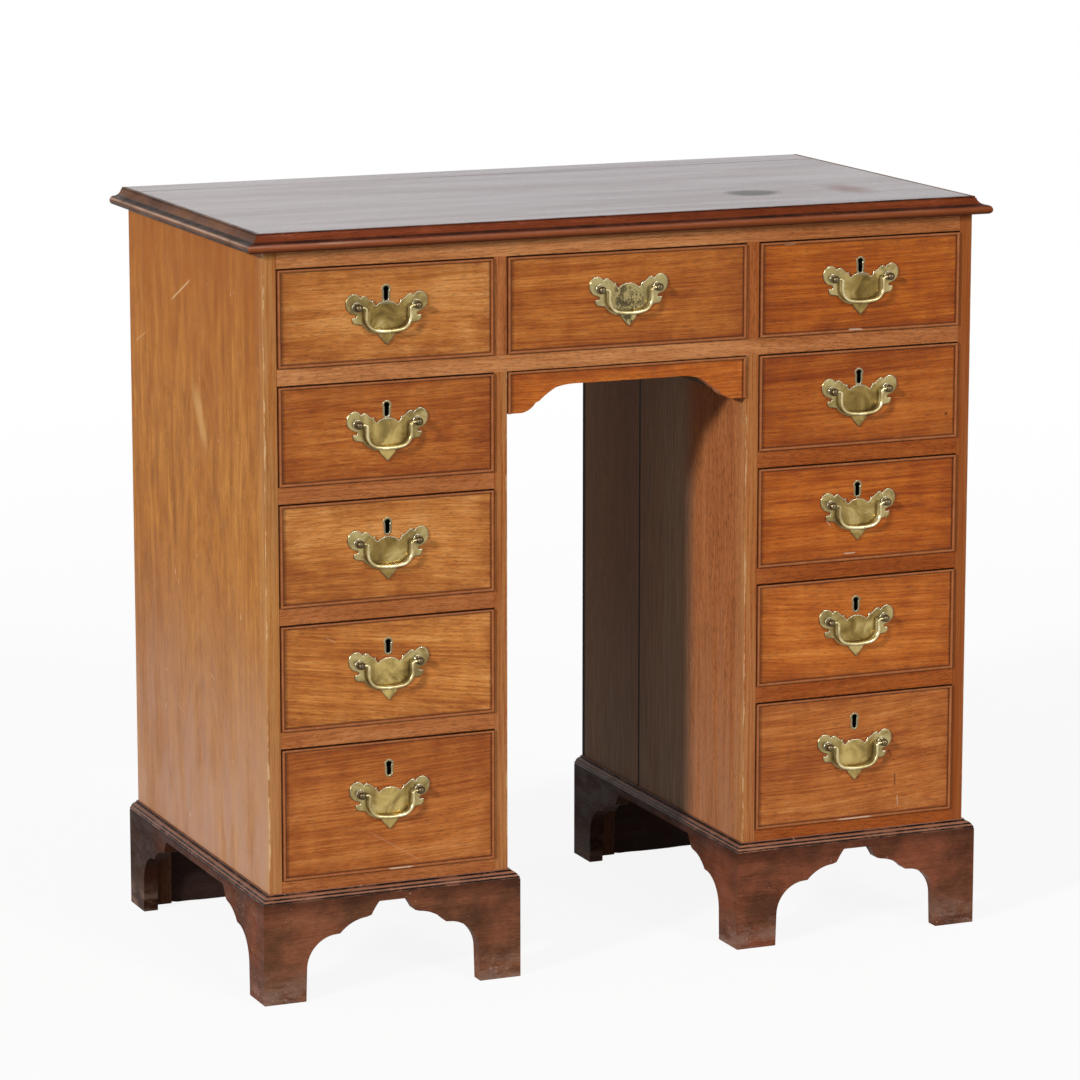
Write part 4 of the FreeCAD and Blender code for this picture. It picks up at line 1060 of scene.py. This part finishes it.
# Top edge moulding: three mitred strips glued round the top, hollow above a round nose.
# Reddish along the front, darker to the right and on both ends, and cracked across near the left corner.
edge_stops = (
    (0.0, (0.082, 0.017, 0.006)),
    (0.5, (0.200, 0.044, 0.014)),
    (1.0, (0.342, 0.096, 0.036)),
)
edge_side_stops = ((0.0, (0.046, 0.021, 0.011)), (1.0, (0.185, 0.083, 0.038)))
nose_highlight = (0.400, 0.122, 0.040)
edge_left_tone = (0.93, 0.87, 0.93)
edge_right_tone = (0.74, 0.64, 0.55)
edge_shade = (0.016, 0.009, 0.006)
edge_highlight = (0.620, 0.420, 0.310)
crack_colour = (0.004, 0.002, 0.002)
nose_level = 0.0046
highlight_level = 0.0070
hollow_level = 0.0094
crack_place = case_front + 0.044


def top_moulding_finish():
    """Strips round the top, darker on the ends of the desk, with grime and painted shade in the hollow and
    along the foot, and painted shade under the nose.
    """
    low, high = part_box("top_edge_moulding")
    coat = Coat("top_moulding_mahogany", 0.30, 0.03)
    place, on_side = run_place(coat, 0.0, high.x, low.y)
    x, y, z = coat.axis()
    top_line = coat.band(z, high.z - 0.0016, high.z - skin, 0.0, 1.0)
    top_line = coat.times(top_line, coat.below(x, right_edge))
    hollow = coat.line(z, low.z + hollow_level, 0.0005, 0.0013, 0.95)
    foot = coat.band(z, low.z, low.z + 0.0016, 1.0, 0.0)
    grime_and_shade = coat.most(coat.most(top_line, hollow), foot)
    polish, height = moulding_wood(coat, place, edge_stops, 16, grime_and_shade)
    # Painted highlight along the middle of the nose.
    coat.lay(coat.line(z, low.z + nose_level, 0.001, 0.004, 0.55), nose_highlight)
    coat.lay(1.0, coat.mix(coat.band(x, -0.20, 0.25), edge_left_tone, edge_right_tone), "MULTIPLY")
    cloud = coat.clouds((9, 9, 40), 3.0)
    coat.lay(coat.times(on_side, 0.85), coat.tones(coat.band(cloud, 0.3, 0.7), edge_side_stops))
    # Painted shade on the lower part of the nose, with grime and painted shade in the dark lines, weaker
    # along the front.
    lower = coat.band(z, low.z + 0.0028, low.z + 0.0050, 0.85, 0.0)
    shaded = coat.times(coat.most(lower, grime_and_shade), coat.band(on_side, 0.0, 1.0, 0.4, 1.0))
    coat.lay(coat.times(shaded, coat.below(z, high.z - skin)), edge_shade)
    # Painted highlight, a thin pale line along the nose, strongest towards the left end.
    highlight = coat.line(z, low.z + highlight_level, 0.0004, 0.0014, 0.6)
    highlight = coat.times(highlight, coat.band(x, left_edge, left_edge + 0.20, 1.0, 0.2))
    coat.lay(coat.times(highlight, coat.band(cloud, 0.35, 0.6, 0.3, 1.0)), edge_highlight)
    cracked = coat.line(y, crack_place, 0.0004, 0.0010, 0.9)
    coat.lay(coat.times(cracked, coat.below(x, left_edge)), crack_colour)
    return coat.done(polish, height, moulding_relief)


dress("top_edge_moulding", top_moulding_finish(), 0)

# Stage: a white paper floor in a white room.
# Two soft lamps light the desk, one from the left and one from the right of the lens.
floor_reach = 40.0
paper_lit = (0.60, 0.60, 0.60)
paper_shown = (0.97, 0.97, 0.97)
white = (1.0, 1.0, 1.0, 1.0)
room_strength = 0.30
floor_mesh = bpy.data.meshes.new("floor")
floor_corners = [(x * floor_reach, y * floor_reach, 0) for x, y in ((-1, -1), (1, -1), (1, 1), (-1, 1))]
floor_mesh.from_pydata(floor_corners, [], [(0, 1, 2, 3)])
floor = bpy.data.objects.new("floor", floor_mesh)
bpy.context.scene.collection.objects.link(floor)
paper = Coat("floor_paper", 0.9, 0.0)


def seen_directly(tree):
    """Factor that is one for rays from the lens, from metal and through glass."""
    ray = tree.nodes.new("ShaderNodeLightPath")
    total = ray.outputs["Is Camera Ray"]
    for name in ("Is Glossy Ray", "Is Transmission Ray"):
        either = tree.nodes.new("ShaderNodeMath")
        either.operation = "MAXIMUM"
        tree.links.new(total, either.inputs[0])
        tree.links.new(ray.outputs[name], either.inputs[1])
        total = either.outputs[0]
    return total


paper_seen = seen_directly(paper.tree)
paper.join(paper.mix(paper_seen, paper_lit, paper_shown), "Base Color")
paper_away = paper.put("ShaderNodeVectorMath", {0: paper.place}, operation="LENGTH").outputs["Value"]
paper_share = paper.times(paper_seen, paper.band(paper_away, 0.9, 4.0, 0.90, 1.0))
paper_white = paper.put("ShaderNodeEmission", {"Color": white, "Strength": 1.0}).outputs[0]
paper_mix = paper.put("ShaderNodeMixShader", {0: paper_share, 1: paper.surface.outputs[0], 2: paper_white})
paper.tree.links.new(paper_mix.outputs[0], paper.tree.nodes["Material Output"].inputs["Surface"])
floor_mesh.materials.append(paper.material)

room = bpy.data.worlds.new("white_room")
bpy.context.scene.world = room
room.use_nodes = True
room_tree = room.node_tree
room_light = room_tree.nodes["Background"]
room_light.inputs["Color"].default_value = white
room_level = room_tree.nodes.new("ShaderNodeMapRange")
room_level.inputs["To Min"].default_value = room_strength
room_level.inputs["To Max"].default_value = 1.0
room_tree.links.new(seen_directly(room_tree), room_level.inputs["Value"])
room_tree.links.new(room_level.outputs[0], room_light.inputs["Strength"])

for lamp_name, lamp_way, lamp_power, lamp_spread in (
    ("left_lamp", (1.0, 0.5, -0.42), 2.4, 6),
    ("right_lamp", (-0.33, 1.0, -0.5), 1.0, 14),
):
    lamp_data = bpy.data.lights.new(lamp_name, "SUN")
    lamp_data.energy = lamp_power
    lamp_data.angle = math.radians(lamp_spread)
    lamp = bpy.data.objects.new(lamp_name, lamp_data)
    lamp.rotation_euler = Vector(lamp_way).to_track_quat("-Z", "Y").to_euler()
    bpy.context.scene.collection.objects.link(lamp)

# Camera: at the photograph's place, left of the desk and a little above its top.
# A long lens, fitted to a picture of 1080 pixels.
lens_pixels = 4702.7
picture_pixels = 1080
camera_yaw = math.radians(23.02)
camera_pitch = math.radians(11.097)
camera_data = bpy.data.cameras.new("camera")
camera_data.sensor_width = 36.0
camera_data.lens = lens_pixels / picture_pixels * camera_data.sensor_width
camera = bpy.data.objects.new("camera", camera_data)
camera.location = (-1.9267, case_front - 4.3063, 1.3710)
camera.rotation_euler = (math.pi / 2 - camera_pitch, 0, -camera_yaw)
bpy.context.scene.collection.objects.link(camera)
bpy.context.scene.camera = camera
bpy.context.scene.view_settings.view_transform = "Standard"
